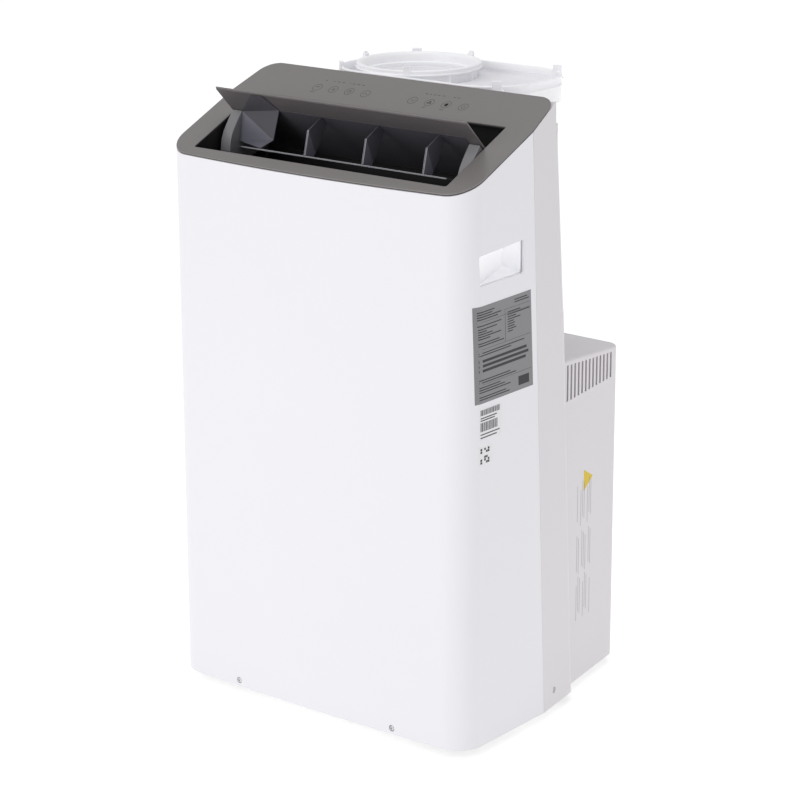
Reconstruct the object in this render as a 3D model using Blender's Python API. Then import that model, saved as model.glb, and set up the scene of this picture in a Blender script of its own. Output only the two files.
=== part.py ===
"""Floor-standing portable air conditioner with a top louvre and a dual-hose collar.

The unit is drawn from its own datum: y = 0 at the middle of the front face, z = 0 at the casing's
bottom edge. An empty then carries every piece to the part's frame, whose origin is on the floor
under the middle of the unit, with the front facing -Y.
"""
import math

import bmesh
import bpy
from mathutils import Matrix, Vector

# ---------------------------------------------------------------- driving dimensions (metres)
HALF_WIDTH = 0.2445          # casing, side to middle
DEPTH = 0.430                # front face to the back of the condenser housing
SKIRT_Z = 0.013              # casing's bottom edge above the floor
GAP = 0.0004                 # clearance between pieces that touch
WALL = 0.003                 # casing wall

FRONT_BOW = 0.0061           # front face bulges by this much over the full width
FRONT_RADIUS = 0.037         # front vertical corners
SEAM_Y = 0.179               # side seam at the bottom edge
SEAM_LEAN = 0.0497           # seam comes forward by this per metre of height
SIDE_TAPER = 0.1638          # sides draw in by this per metre behind the seam
REAR_RADIUS = 0.025          # rear vertical corners

PANEL_Z = 0.7165             # sloped top surface, at the front face
PANEL_SLOPE = 0.4508         # its rise per metre of depth
PANEL_THICK = 0.0030         # top bezel, measured vertically
BEZEL_BACK = 0.2035          # rear edge of the bezel
OPEN_FRONT, OPEN_BACK = 0.0178, 0.1388
OPEN_HALF = 0.205            # louvre opening in the bezel

PIVOT_Y, PIVOT_Z = 0.0925, 0.7307
FLAP_TIP = (0.060, 0.797)
FLAP_CHORD = 0.1250
FLAP_THICK = 0.0025
FLAP_HALF = 0.2035
CHEEK_OUT, CHEEK_IN = 0.2015, 0.185
PIN_RADIUS = 0.005

BOX_TOP = 0.4595             # condenser housing's top where it leaves the casing
BOX_FRONT = 0.2508           # depth at which it has that height
BOX_FALL = 0.106             # its fall per metre of depth
BOX_SIDE = 0.2132            # its half width at BOX_SIDE_Y
BOX_SIDE_Y = 0.2902
BOX_RADIUS = 0.022
BOX_BOW = 0.004
BOX_BACK = 0.424             # middle of its rear face; the drain cap takes up the rest of DEPTH
SLOT_Y, SLOT_PITCH, SLOT_COUNT = 0.2597, 0.01086, 13
SLOT_LOW, SLOT_HIGH, SLOT_HALF = 0.402, 0.4507, 0.0025
WINDOW_HALF, WINDOW_TOP = 0.183, 0.425      # opening from the casing into the housing

COLLAR_LOW, COLLAR_TOP = 0.775, 0.810
COLLAR_HALF = 0.1495
COLLAR_FRONT, COLLAR_BACK = 0.205, 0.380
COLLAR_RADIUS = 0.065
GRATE_LOW, GRATE_HIGH = 0.7920, 0.7945      # intake grille inside the collar
RING_X, RING_Y = -0.052, 0.2925
RING_TOP = 0.8155
RING_FLANGE, RING_SEAT, RING_BORE = 0.0838, 0.0775, 0.0710
SHELF_FRONT, SHELF_BACK = 0.178, 0.202      # ledge under the rear of the bezel
SHELF_THICK = 0.0025
RISER_LOW = 0.4362           # exhaust riser's foot, just above the condenser blower's outlet

# Grip opening as (depth, height): low front, low back, high back, high front.
HANDLE = ((0.0355, 0.6026), (0.1236, 0.6040), (0.1236, 0.6461), (0.0331, 0.6404))
CUP_SEAT, CUP_SHALLOW, CUP_DEEP = 0.0021, 0.0040, 0.0255    # its pocket, in from the casing's wall
SCREW_X, SCREW_Z, SCREW_HOLE = 0.131, 0.0085, 0.0042
SIDE_SCREW = (0.209, 0.022)  # its depth and height
COVER_LOW, COVER_HIGH = 0.530, 0.768
COVER_IN = 0.150             # filter covers run from here round the rear corners
DRAIN_X, DRAIN_Z = 0.0, 0.052
GLAND_X, GLAND_Z = -0.120, 0.075

DUCT_HALF = 0.2075
DUCT_FRONT, DUCT_BACK = 0.0135, 0.162
DECK_Z = 0.375
PAN_TOP = 0.036
BASE_BOTTOM = 0.032
WHEEL_RADIUS = 0.019
CASTER_TRAIL = 0.013
CASTERS = {"front_left": (-0.172, 0.070), "front_right": (0.172, 0.070),
           "rear_left": (-0.130, 0.335), "rear_right": (0.130, 0.335)}

# ---------------------------------------------------------------- scene and materials


def clear_scene():
    for obj in list(bpy.data.objects):
        bpy.data.objects.remove(obj, do_unlink=True)


def material(name, color, rough, metal=0.0):
    mat = bpy.data.materials.get(name)
    if mat is None:
        mat = bpy.data.materials.new(name)
        mat.use_nodes = True
        shader = mat.node_tree.nodes["Principled BSDF"]
        shader.inputs["Base Color"].default_value = (*color, 1.0)
        shader.inputs["Roughness"].default_value = rough
        shader.inputs["Metallic"].default_value = metal
    return mat


WHITE = ("white_gloss", (0.88, 0.88, 0.90), 0.25)
GREY = ("bezel_grey", (0.25, 0.24, 0.235), 0.35)
DARK = ("duct_black", (0.012, 0.012, 0.014), 0.45)
FLAP = ("louvre_grey", (0.22, 0.215, 0.21), 0.4)
SMOKE = ("louvre_dark", (0.07, 0.07, 0.08), 0.4)
PALE = ("collar_white", (0.86, 0.87, 0.88), 0.45)
STEEL = ("zinc_steel", (0.62, 0.62, 0.60), 0.35, 1.0)
ALUMINIUM = ("fin_aluminium", (0.78, 0.79, 0.80), 0.4, 1.0)
COPPER = ("copper", (0.72, 0.36, 0.2), 0.3, 1.0)
ENAMEL = ("black_enamel", (0.02, 0.02, 0.02), 0.3)
NYLON = ("nylon_black", (0.03, 0.03, 0.03), 0.5)
FOAM = ("filter_mesh", (0.12, 0.13, 0.14), 0.8)
BOARD = ("board_green", (0.03, 0.16, 0.07), 0.5)
STYRENE = ("pan_white", (0.75, 0.75, 0.73), 0.6)

# ---------------------------------------------------------------- building blocks

UNIT = None


def place(name, bm, look, sharp=32.0, origin=(0.0, 0.0, 0.0)):
    """Turn a bmesh drawn in the unit's datum into an object whose origin is at origin."""
    bmesh.ops.recalc_face_normals(bm, faces=bm.faces)
    bmesh.ops.translate(bm, verts=bm.verts, vec=-Vector(origin))
    mesh = bpy.data.meshes.new(name)
    bm.to_mesh(mesh)
    bm.free()
    mesh.shade_smooth()
    mesh.set_sharp_from_angle(angle=math.radians(sharp))
    obj = bpy.data.objects.new(name, mesh)
    obj.location = origin
    obj.parent = UNIT
    obj.data.materials.append(material(*look))
    bpy.context.scene.collection.objects.link(obj)
    return obj


def cut(obj, tool_bm, operation="DIFFERENCE"):
    """Apply one Boolean with a tool drawn in the unit's datum."""
    bmesh.ops.recalc_face_normals(tool_bm, faces=tool_bm.faces)
    mesh = bpy.data.meshes.new("tool")
    tool_bm.to_mesh(mesh)
    tool_bm.free()
    tool = bpy.data.objects.new("tool", mesh)
    tool.parent = UNIT
    bpy.context.scene.collection.objects.link(tool)
    mod = obj.modifiers.new("cut", "BOOLEAN")
    mod.operation = operation
    mod.object = tool
    mod.solver = "EXACT"
    bpy.context.view_layer.update()
    graph = bpy.context.evaluated_depsgraph_get()
    done = bpy.data.meshes.new_from_object(obj.evaluated_get(graph))
    obj.modifiers.clear()
    old = obj.data
    done.name = old.name
    obj.data = done
    bpy.data.meshes.remove(old)
    bpy.data.objects.remove(tool, do_unlink=True)
    bpy.data.meshes.remove(mesh)
    obj.data.shade_smooth()
    obj.data.set_sharp_from_angle(angle=math.radians(32.0))


def arc(cx, cy, radius, start, stop, steps):
    """Points on a circle, from start to stop in degrees, both included."""
    points = []
    for i in range(steps + 1):
        angle = math.radians(start + (stop - start) * i / steps)
        points.append((cx + radius * math.cos(angle), cy + radius * math.sin(angle)))
    return points


def mirrored(half):
    """A right-hand half outline followed by its mirror image, met in the middle."""
    left = [(-x, *rest) for x, *rest in reversed(half)]
    if abs(half[-1][0]) < 1e-6:
        left = left[1:]
    return list(half) + left


def rings_body(rings, closed=True, bm=None):
    """Skin a stack of equal-length rings of 3-D points and cap both ends."""
    bm = bm or bmesh.new()
    rows = [[bm.verts.new(point) for point in ring] for ring in rings]
    count = len(rows[0])
    for low, high in zip(rows, rows[1:]):
        for i in range(count if closed else count - 1):
            j = (i + 1) % count
            bm.faces.new((low[i], low[j], high[j], high[i]))
    bm.faces.new(rows[0])
    bm.faces.new(rows[-1])
    return bm


def prism(outline, low, high, bm=None):
    """Vertical prism; low and high are heights or functions of (x, y)."""
    at = [level if callable(level) else (lambda x, y, v=level: v) for level in (low, high)]
    return rings_body([[(x, y, f(x, y)) for x, y in outline] for f in at], bm=bm)


def prism_x(outline, x0, x1, bm=None):
    """Prism along X of an outline given as (y, z)."""
    return rings_body([[(x, y, z) for y, z in outline] for x in (x0, x1)], bm=bm)


def prism_y(outline, y0, y1, bm=None):
    """Prism along Y of an outline given as (x, z)."""
    return rings_body([[(x, y, z) for x, z in outline] for y in (y0, y1)], bm=bm)


def block(low, high, bm=None):
    (x0, y0, z0), (x1, y1, z1) = low, high
    return prism([(x0, y0), (x1, y0), (x1, y1), (x0, y1)], z0, z1, bm=bm)


def shell(outer, inner):
    """Open wall between two equal stacks of open rings: skins, rims and both ends."""
    bm = bmesh.new()
    out = [[bm.verts.new(point) for point in ring] for ring in outer]
    ins = [[bm.verts.new(point) for point in ring] for ring in inner]
    count = len(out[0])
    for k in range(len(out) - 1):
        for i in range(count - 1):
            bm.faces.new((out[k][i], out[k][i + 1], out[k + 1][i + 1], out[k + 1][i]))
            bm.faces.new((ins[k][i], ins[k + 1][i], ins[k + 1][i + 1], ins[k][i + 1]))
        for i in (0, count - 1):
            bm.faces.new((out[k][i], out[k + 1][i], ins[k + 1][i], ins[k][i]))
    for k in (0, len(out) - 1):
        for i in range(count - 1):
            bm.faces.new((out[k][i], out[k][i + 1], ins[k][i + 1], ins[k][i]))
    return bm


def turned(profile, steps, axis="Z", at=(0.0, 0.0, 0.0), turn=0.0, bm=None):
    """Spin a profile of (radius, height) points; ends on the axis close to a point."""
    basis = {"Z": Matrix.Identity(3),
             "Y": Matrix(((1, 0, 0), (0, 0, 1), (0, 1, 0))),
             "X": Matrix(((0, 0, 1), (1, 0, 0), (0, 1, 0)))}[axis]
    bm = bm or bmesh.new()
    closed = profile[0][0] > 0 and profile[-1][0] > 0
    rows = []
    for radius, height in profile:
        ring = []
        for i in range(steps if radius > 0 else 1):
            angle = math.radians(turn) + 2 * math.pi * i / steps
            local = Vector((radius * math.cos(angle), radius * math.sin(angle), height))
            ring.append(bm.verts.new(basis @ local + Vector(at)))
        rows.append(ring)
    pairs = list(zip(rows, rows[1:]))
    if closed:
        pairs.append((rows[-1], rows[0]))
    for a, b in pairs:
        for i in range(steps):
            j = (i + 1) % steps
            if len(a) == 1:
                bm.faces.new((a[0], b[i], b[j]))
            elif len(b) == 1:
                bm.faces.new((a[i], a[j], b[0]))
            else:
                bm.faces.new((a[i], a[j], b[j], b[i]))
    return bm


def rod(radius, start, stop, steps, axis="Z", at=(0.0, 0.0, 0.0), turn=0.0, bm=None):
    profile = [(0.0, start), (radius, start), (radius, stop), (0.0, stop)]
    return turned(profile, steps, axis, at, turn, bm)


# ---------------------------------------------------------------- casing geometry


def panel_z(y, drop=0.0):
    return PANEL_Z + PANEL_SLOPE * y - drop


def seam_y(z):
    return SEAM_Y - SEAM_LEAN * z


def seam_top_y(drop):
    """Where the leaning seam meets the sloped top edge of the casing."""
    return (SEAM_Y - SEAM_LEAN * (PANEL_Z - drop)) / (1 + SEAM_LEAN * PANEL_SLOPE)


def side_x(y, z, inset=0.0):
    return HALF_WIDTH - inset - SIDE_TAPER * max(0.0, y - seam_y(z))


def rear_y(z):
    """Rear wall of the upper casing: upright at the top, leaning back lower down."""
    knots = [(0.0, 0.275), (0.506, 0.2455), (0.745, 0.2245), (0.80, 0.2235)]
    for (z0, y0), (z1, y1) in zip(knots, knots[1:]):
        if z <= z1:
            return y0 + (y1 - y0) * (z - z0) / (z1 - z0)
    return knots[-1][1]


def front_half(inset, steps=7):
    """Right half of the front plan: from the corner's side tangent to the middle of the face."""
    reach = HALF_WIDTH - FRONT_RADIUS
    bow = (HALF_WIDTH ** 2 + FRONT_BOW ** 2) / (2 * FRONT_BOW)
    centre_y = bow - math.sqrt((bow - FRONT_RADIUS) ** 2 - reach ** 2)
    swing = math.degrees(math.atan2(reach, bow - centre_y))
    corner = arc(reach, centre_y, FRONT_RADIUS - inset, 0.0, swing - 90.0, steps)
    face = arc(0.0, bow, bow - inset, swing - 90.0, -90.0, 3)
    return corner + face[1:]


def rear_corner(z, inset, steps=5):
    """Rear right corner, from its side tangent to its rear tangent."""
    tilt = math.degrees(math.atan(SIDE_TAPER))
    back = rear_y(z)
    cy = back - REAR_RADIUS
    ty = cy + REAR_RADIUS * math.sin(math.radians(tilt))
    cx = side_x(ty, z) - REAR_RADIUS * math.cos(math.radians(tilt))
    return arc(cx, cy, REAR_RADIUS - inset, tilt, 90.0, steps)


def box_half(inset, steps=5):
    """Right half of the condenser housing's plan, from its rear corner to the middle."""
    tilt = math.degrees(math.atan(SIDE_TAPER))
    cy = BOX_BACK - BOX_BOW - BOX_RADIUS
    ty = cy + BOX_RADIUS * math.sin(math.radians(tilt))
    cx = BOX_SIDE - SIDE_TAPER * (ty - BOX_SIDE_Y) - BOX_RADIUS * math.cos(math.radians(tilt))
    corner = arc(cx, cy, BOX_RADIUS - inset, tilt, 84.0, steps)
    x_end, y_end = corner[-1]
    rise = BOX_BACK - inset - y_end
    face = [(x_end * (1 - t), y_end + rise * (1 - (1 - t) ** 2)) for t in (0.33, 0.66, 1.0)]
    return corner + face


def box_side_x(y, inset):
    return BOX_SIDE - inset - SIDE_TAPER * (y - BOX_SIDE_Y)


def box_top(y, drop=0.0):
    return BOX_TOP - BOX_FALL * (y - BOX_FRONT) - drop


# ---------------------------------------------------------------- casing pieces


def front_casing():
    drop = PANEL_THICK + GAP
    top_y = seam_top_y(drop)

    def ring(inset, end_y, level):
        half = [(HALF_WIDTH - inset, end_y)] + front_half(inset)
        return [(x, y, level(y)) for x, y in mirrored(half)]

    stacks = []
    for inset in (0.0, WALL):
        low = ring(inset, SEAM_Y, lambda y: 0.0)
        high = ring(inset, top_y, lambda y: panel_z(y, drop))
        stacks.append([low, high])
    obj = place("front_casing", shell(*stacks), WHITE)
    for side in (-1, 1):
        cut(obj, prism_x(handle_outline(0.0), side * 0.20, side * 0.26))
    for x in (-SCREW_X, SCREW_X):
        cut(obj, rod(SCREW_HOLE, -0.01, 0.02, 12, "Y", (x, 0.0, SCREW_Z)))
    return obj


def handle_outline(grow):
    """Grip opening as (y, z), made larger all round by grow."""
    ways = ((-1, -1), (1, -1), (1, 1), (-1, 1))
    return [(y + grow * u, z + grow * v) for (y, z), (u, v) in zip(HANDLE, ways)]


def rear_casing():
    drop = PANEL_THICK + GAP
    levels = [0.0, 0.25, 0.506, 0.626, 0.745]
    under_collar = COLLAR_LOW - GAP

    def half_plan(z, inset):
        seam = seam_y(z) + GAP
        corner = rear_corner(z, inset)
        step = (corner[0][0] - SIDE_TAPER * GAP, corner[0][1] + GAP)
        return [(side_x(seam, z, inset), seam), corner[0], step] + corner[1:]

    stacks = []
    for inset in (0.0, WALL):
        rings = []
        for z in levels:
            rings.append([(x, y, z) for x, y in mirrored(half_plan(z, inset))])
        plan = half_plan(panel_z(0.17, drop), inset)
        plan[0] = (HALF_WIDTH - inset, seam_top_y(drop) + GAP)
        rim = []
        for i, (x, y) in enumerate(plan):
            rim.append((x, y, panel_z(y, drop) if i < 2 else under_collar))
        rings.append(mirrored(rim))
        stacks.append(rings)
    obj = place("rear_casing", shell(*stacks), WHITE)
    cut(obj, block((-WINDOW_HALF, 0.20, -0.02), (WINDOW_HALF, 0.30, WINDOW_TOP)))
    for side in (-1, 1):
        cut(obj, cover_region(side, 0.0))
        x0, x1 = sorted((side * 0.22, side * 0.26))
        y, z = SIDE_SCREW
        cut(obj, rod(SCREW_HOLE, x0, x1, 12, "X", (0, y, z)))
    shelf, deck = casing_ledges()
    cut(obj, shelf, "UNION")
    cut(obj, deck, "UNION")
    return obj


def casing_ledges():
    """Stepped shelf that carries the bezel's rear edge, and the deck behind it under the collar."""
    drop = PANEL_THICK + 2 * GAP
    foot = COLLAR_LOW - GAP - 0.0020
    step = SHELF_BACK - SHELF_THICK
    profile = [(SHELF_FRONT, panel_z(SHELF_FRONT, drop)), (SHELF_BACK, panel_z(SHELF_BACK, drop)),
               (SHELF_BACK, foot), (step, foot), (step, panel_z(step, drop + SHELF_THICK)),
               (SHELF_FRONT, panel_z(SHELF_FRONT, drop + SHELF_THICK))]
    ends = []
    for side in (-1, 1):
        ends.append([(side * side_x(y, foot, WALL / 2), y, z) for y, z in profile])
    front = step - 0.0010
    half = [(side_x(front, foot, WALL / 2), front)] + rear_corner(foot, WALL / 2)
    top = COLLAR_LOW - GAP - 0.0010
    return rings_body(ends), prism(mirrored(half), top - SHELF_THICK, top)


def cover_region(side, shrink):
    """Sheared block that takes in a rear corner of the casing between two heights."""
    rings = []
    for z in (COVER_LOW + shrink, COVER_HIGH - shrink):
        start = rear_corner(z, 0.0)[0][1] + 0.001 + shrink
        x0, x1 = side * (COVER_IN + shrink), side * 0.27
        rings.append([(x0, start, z), (x1, start, z), (x1, 0.30, z), (x0, 0.30, z)])
    return rings_body(rings)


def filter_cover(side):
    """Slatted cover that carries on the line of the casing round its rear corner."""
    name = "filter_cover_right" if side > 0 else "filter_cover_left"
    stacks = []
    for inset in (0.0, WALL):
        rings = []
        for z in (COVER_LOW - 0.01, 0.626, 0.745, COVER_HIGH + 0.01):
            corner = rear_corner(z, inset)
            ring = corner + [(COVER_IN - 0.01, corner[-1][1])]
            rings.append([(side * x, y, z) for x, y in ring])
        stacks.append(rings)
    obj = place(name, shell(*stacks), WHITE)
    cut(obj, cover_region(side, GAP), "INTERSECT")
    slots = bmesh.new()
    count = 8
    pitch = (COVER_HIGH - COVER_LOW - 0.018) / count
    for i in range(count):
        z = COVER_LOW + 0.009 + pitch * (i + 0.5)
        x0, x1 = sorted((side * (COVER_IN + 0.008), side * 0.26))
        start = rear_corner(z, 0.0)[0][1] + 0.006
        block((x0, start, z - 0.008), (x1, 0.29, z + 0.008), bm=slots)
    cut(obj, slots)
    return obj


def air_filter(side):
    name = "air_filter_right" if side > 0 else "air_filter_left"
    rings = []
    for z in (COVER_LOW + 0.006, 0.745, COVER_HIGH - 0.004):
        back = rear_y(z) - WALL - 0.0006
        x0, x1 = side * (COVER_IN + 0.004), side * 0.203
        rings.append([(x0, back - 0.004, z), (x1, back - 0.004, z), (x1, back, z), (x0, back, z)])
    return place(name, rings_body(rings), FOAM)


def condenser_housing():
    def ring(inset, front, level):
        half = [(box_side_x(front, inset), front)] + box_half(inset)
        return [(x, y, level(y)) for x, y in mirrored(half)]

    outer = [ring(0.0, rear_y(0.0) + GAP, lambda y: 0.0)]
    for drop, inset in ((0.0040, 0.0), (0.0012, 0.0012), (0.0, 0.0040)):
        front = rear_y(BOX_TOP - drop) + GAP
        outer.append(ring(inset, front, lambda y, d=drop: box_top(y, d)))
    obj = place("condenser_housing", rings_body(outer), WHITE)
    inner = [ring(WALL, 0.15, lambda y: -0.02)]
    for drop, inset in ((0.0055, WALL), (WALL, 0.0065)):
        inner.append(ring(inset, 0.15, lambda y, d=drop: box_top(y, d)))
    cut(obj, rings_body(inner))
    slots = bmesh.new()
    for side in (-1, 1):
        for i in range(SLOT_COUNT):
            y = SLOT_Y + SLOT_PITCH * i
            x0, x1 = sorted((side * 0.16, side * 0.25))
            top = SLOT_HIGH - BOX_FALL * (y - SLOT_Y)
            block((x0, y - SLOT_HALF, SLOT_LOW), (x1, y + SLOT_HALF, top), bm=slots)
    cut(obj, slots)
    cut(obj, prism(riser_plan(BOX_TOP, 0.0012), 0.43, 0.48))
    cut(obj, block((0.03, 0.275, 0.43), (0.09, 0.345, 0.48)))
    cut(obj, rod(0.0072, 0.39, 0.45, 16, "Y", (DRAIN_X, 0.0, DRAIN_Z)))
    cut(obj, rod(0.0105, 0.39, 0.45, 16, "Y", (GLAND_X, 0.0, GLAND_Z)))
    return obj


def bezel_plan():
    """Bezel outline: the casing's plan, closed by a straight rear edge with round corners."""
    z = panel_z(0.17)
    half = [(HALF_WIDTH, seam_y(z))] + front_half(0.0)
    tilt = math.degrees(math.atan(SIDE_TAPER))
    radius = 0.026
    cy = BEZEL_BACK - radius
    ty = cy + radius * math.sin(math.radians(tilt))
    cx = side_x(ty, z) - radius * math.cos(math.radians(tilt))
    corner = arc(cx, cy, radius, 90.0, tilt, 6)
    return mirrored(corner + half)


def rounded_rect(x0, x1, y0, y1, radii, steps=4):
    """Rectangle with its own radius at each corner: right-front, right-back, left-back, left-front."""
    rf, rb, lb, lf = radii
    points = arc(x1 - rf, y0 + rf, rf, -90, 0, steps)
    points += arc(x1 - rb, y1 - rb, rb, 0, 90, steps)
    points += arc(x0 + lb, y1 - lb, lb, 90, 180, steps)
    points += arc(x0 + lf, y0 + lf, lf, 180, 270, steps)
    return points


def top_bezel():
    plate = prism(bezel_plan(), lambda x, y: panel_z(y, PANEL_THICK), lambda x, y: panel_z(y))
    obj = place("top_bezel", plate, GREY)
    radii = (0.003, 0.002, 0.002, 0.003)
    hole = rounded_rect(-OPEN_HALF, OPEN_HALF, OPEN_FRONT, OPEN_BACK, radii, 2)
    cut(obj, prism(hole, 0.60, 0.90))
    return obj


def handle_cup(side):
    """Wedge-shaped pocket behind the grip opening: shallow in front, deep where fingers pull."""
    name = "handle_cup_right" if side > 0 else "handle_cup_left"
    wall = HALF_WIDTH - WALL
    front, back = HANDLE[3][0], HANDLE[1][0]

    def ring(outline, depth):
        return [(side * (wall - depth(y)), y, z) for y, z in outline]

    def sloped(y, skin=0.0):
        return CUP_SHALLOW + (CUP_DEEP - CUP_SHALLOW) * (y - front) / (back - front) + skin

    rim = handle_outline(0.002)
    body = [ring(rim, lambda y: CUP_SEAT), ring(rim, lambda y: sloped(y, WALL))]
    obj = place(name, rings_body(body), WHITE)
    mouth = handle_outline(0.0)
    draft = ((0.002, 0.0005), (-0.005, 0.006), (-0.005, -0.001), (0.002, -0.001))
    seabed = [(y + u, z + v) for (y, z), (u, v) in zip(mouth, draft)]
    pocket = [ring(mouth, lambda y: -0.002), ring(mouth, lambda y: CUP_SEAT), ring(seabed, sloped)]
    cut(obj, rings_body(pocket))
    return obj


def casing_screws():
    profile = [(0.0, 0.0), (0.0018, 0.0), (0.0018, 0.0055), (0.0036, 0.0055), (0.0036, 0.0070),
               (0.0028, 0.0078), (0.0, 0.0078)]
    for name, x in (("screw_front_left", -SCREW_X), ("screw_front_right", SCREW_X)):
        flipped = [(r, -h) for r, h in profile]
        place(name, turned(flipped, 12, "Y", (x, 0.0093, SCREW_Z)), STEEL)
    y, z = SIDE_SCREW
    for name, side in (("screw_side_left", -1), ("screw_side_right", 1)):
        sided = [(r, side * h) for r, h in profile]
        place(name, turned(sided, 12, "X", (side * 0.2315, y, z)), STEEL)


# ---------------------------------------------------------------- hose collar and exhaust path


def collar_plan(inset):
    radii = [COLLAR_RADIUS - inset] * 4
    return rounded_rect(-COLLAR_HALF + inset, COLLAR_HALF - inset, COLLAR_FRONT + inset,
                        COLLAR_BACK - inset, radii, 7)


# Snap tabs: at these directions round the collar's corners, standing this far out of the wall.
COLLAR_TABS = ((312.5, 0.0012), (227.5, 0.0012), (60.0, 0.0030), (120.0, 0.0030))
RING_TABS = (189.0, 69.0, 297.0)


def tab(x, y, facing, inward, outward, half, low, high):
    """Upright block across a wall, square to the direction it faces."""
    c, s = math.cos(math.radians(facing)), math.sin(math.radians(facing))
    corners = [(-inward, -half), (outward, -half), (outward, half), (-inward, half)]
    return prism([(x + c * u - s * v, y + s * u + c * v) for u, v in corners], low, high)


def hose_collar():
    obj = place("hose_collar", prism(collar_plan(0.0), COLLAR_LOW, COLLAR_TOP), PALE)
    cut(obj, prism(collar_plan(WALL), COLLAR_LOW + WALL, COLLAR_TOP + 0.01))
    cut(obj, prism(riser_plan(COLLAR_LOW, 0.0006), 0.70, 0.90))
    cut(obj, prism(rounded_rect(0.030, 0.108, 0.238, 0.345, (0.01,) * 4, 2), 0.70, 0.80))
    for facing, outward in COLLAR_TABS:
        x, y = collar_point(facing)
        hook = tab(x, y, facing, 0.002, outward, 0.006, COLLAR_TOP - 0.016, COLLAR_TOP + 0.0065)
        cut(obj, hook, "UNION")
    return obj


def collar_point(facing):
    """Point on the outside of the collar's corner that faces this way."""
    c, s = math.cos(math.radians(facing)), math.sin(math.radians(facing))
    x = math.copysign(COLLAR_HALF - COLLAR_RADIUS, c)
    y = COLLAR_BACK - COLLAR_RADIUS if s > 0 else COLLAR_FRONT + COLLAR_RADIUS
    return x + COLLAR_RADIUS * c, y + COLLAR_RADIUS * s


def exhaust_ring():
    low = COLLAR_LOW + WALL + GAP
    profile = [(RING_SEAT, low), (RING_SEAT, RING_TOP - 0.0095), (0.0832, RING_TOP - 0.0080),
               (RING_FLANGE, RING_TOP - 0.0035), (0.0820, RING_TOP), (0.0765, RING_TOP),
               (0.0740, RING_TOP - 0.0050), (0.0740, 0.8020), (RING_BORE, 0.8000), (RING_BORE, low)]
    obj = place("exhaust_ring", turned(profile, 32, "Z", (RING_X, RING_Y, 0.0)), PALE)
    for facing in RING_TABS:
        x = RING_X + 0.0815 * math.cos(math.radians(facing))
        y = RING_Y + 0.0815 * math.sin(math.radians(facing))
        hook = tab(x, y, facing, 0.003, 0.0020, 0.005, RING_TOP - 0.005, RING_TOP + 0.0065)
        cut(obj, hook, "UNION")
    return obj


def intake_grille():
    clear = RING_SEAT + 0.0007
    obj = place("intake_grille", prism(collar_plan(WALL + 0.0022), GRATE_LOW, GRATE_HIGH), PALE)
    cut(obj, rod(clear, 0.70, 0.90, 40, "Z", (RING_X, RING_Y, 0.0)))
    slots = bmesh.new()
    for i in range(9):
        y = 0.2295 + 0.016 * i
        start = RING_X + 0.012 + math.sqrt(max(0.0, clear ** 2 - (y - RING_Y) ** 2))
        end = 0.131 - 9.0 * (y - RING_Y) ** 2
        block((start, y - 0.005, GRATE_LOW - 0.005), (end, y + 0.005, GRATE_HIGH + 0.005), bm=slots)
    cut(obj, slots)
    return obj


def riser_housing():
    def ring(z, inset, level):
        front = rear_y(z) + GAP
        corner = arc(0.100 - 0.028, 0.372 - 0.028, 0.028 - inset, 17.0, 90.0, 4)
        half = [(0.140 - inset, front)] + corner + [(0.0, 0.372 - inset)]
        return [(x, y, level(y)) for x, y in mirrored(half)]

    stacks = []
    for inset in (0.0, WALL):
        rings = [ring(BOX_TOP, inset, lambda y: box_top(y, -GAP))]
        for z in (0.506, 0.745, COLLAR_LOW - GAP):
            rings.append(ring(z, inset, lambda y, v=z: v))
        stacks.append(rings)
    return place("riser_housing", shell(*stacks), WHITE)


def riser_plan(z, grow):
    """Exhaust riser section: an oval at the bottom that turns into a circle at the top."""
    t = (z - RISER_LOW) / (COLLAR_LOW - RISER_LOW)
    cx = -0.048 + 0.003 * t
    cy = 0.302 - 0.0065 * t
    rx = 0.058 + 0.002 * t + grow
    ry = 0.033 + 0.027 * t + grow
    points = []
    for i in range(24):
        angle = 2 * math.pi * i / 24
        points.append((cx + rx * math.cos(angle), cy + ry * math.sin(angle)))
    return points


def exhaust_riser():
    low, high = RISER_LOW, COLLAR_LOW + 0.0005
    bm = bmesh.new()
    walls = []
    for grow in (0.0, -0.002):
        walls.append([[bm.verts.new((x, y, z)) for x, y in riser_plan(z, grow)] for z in (low, high)])
    out, ins = walls
    for i in range(24):
        j = (i + 1) % 24
        bm.faces.new((out[0][i], out[0][j], out[1][j], out[1][i]))
        bm.faces.new((ins[0][i], ins[1][i], ins[1][j], ins[0][j]))
        for k in (0, 1):
            bm.faces.new((out[k][i], ins[k][i], ins[k][j], out[k][j]))
    return place("exhaust_riser", bm, PALE)


# ---------------------------------------------------------------- louvre


def along_flap(distance, depth=0.0):
    """A point on the flap: distance back from its tip, depth below its outer face."""
    s = math.sqrt(0.5)
    return (FLAP_TIP[0] + s * distance - s * depth, FLAP_TIP[1] - s * distance - s * depth)


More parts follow.
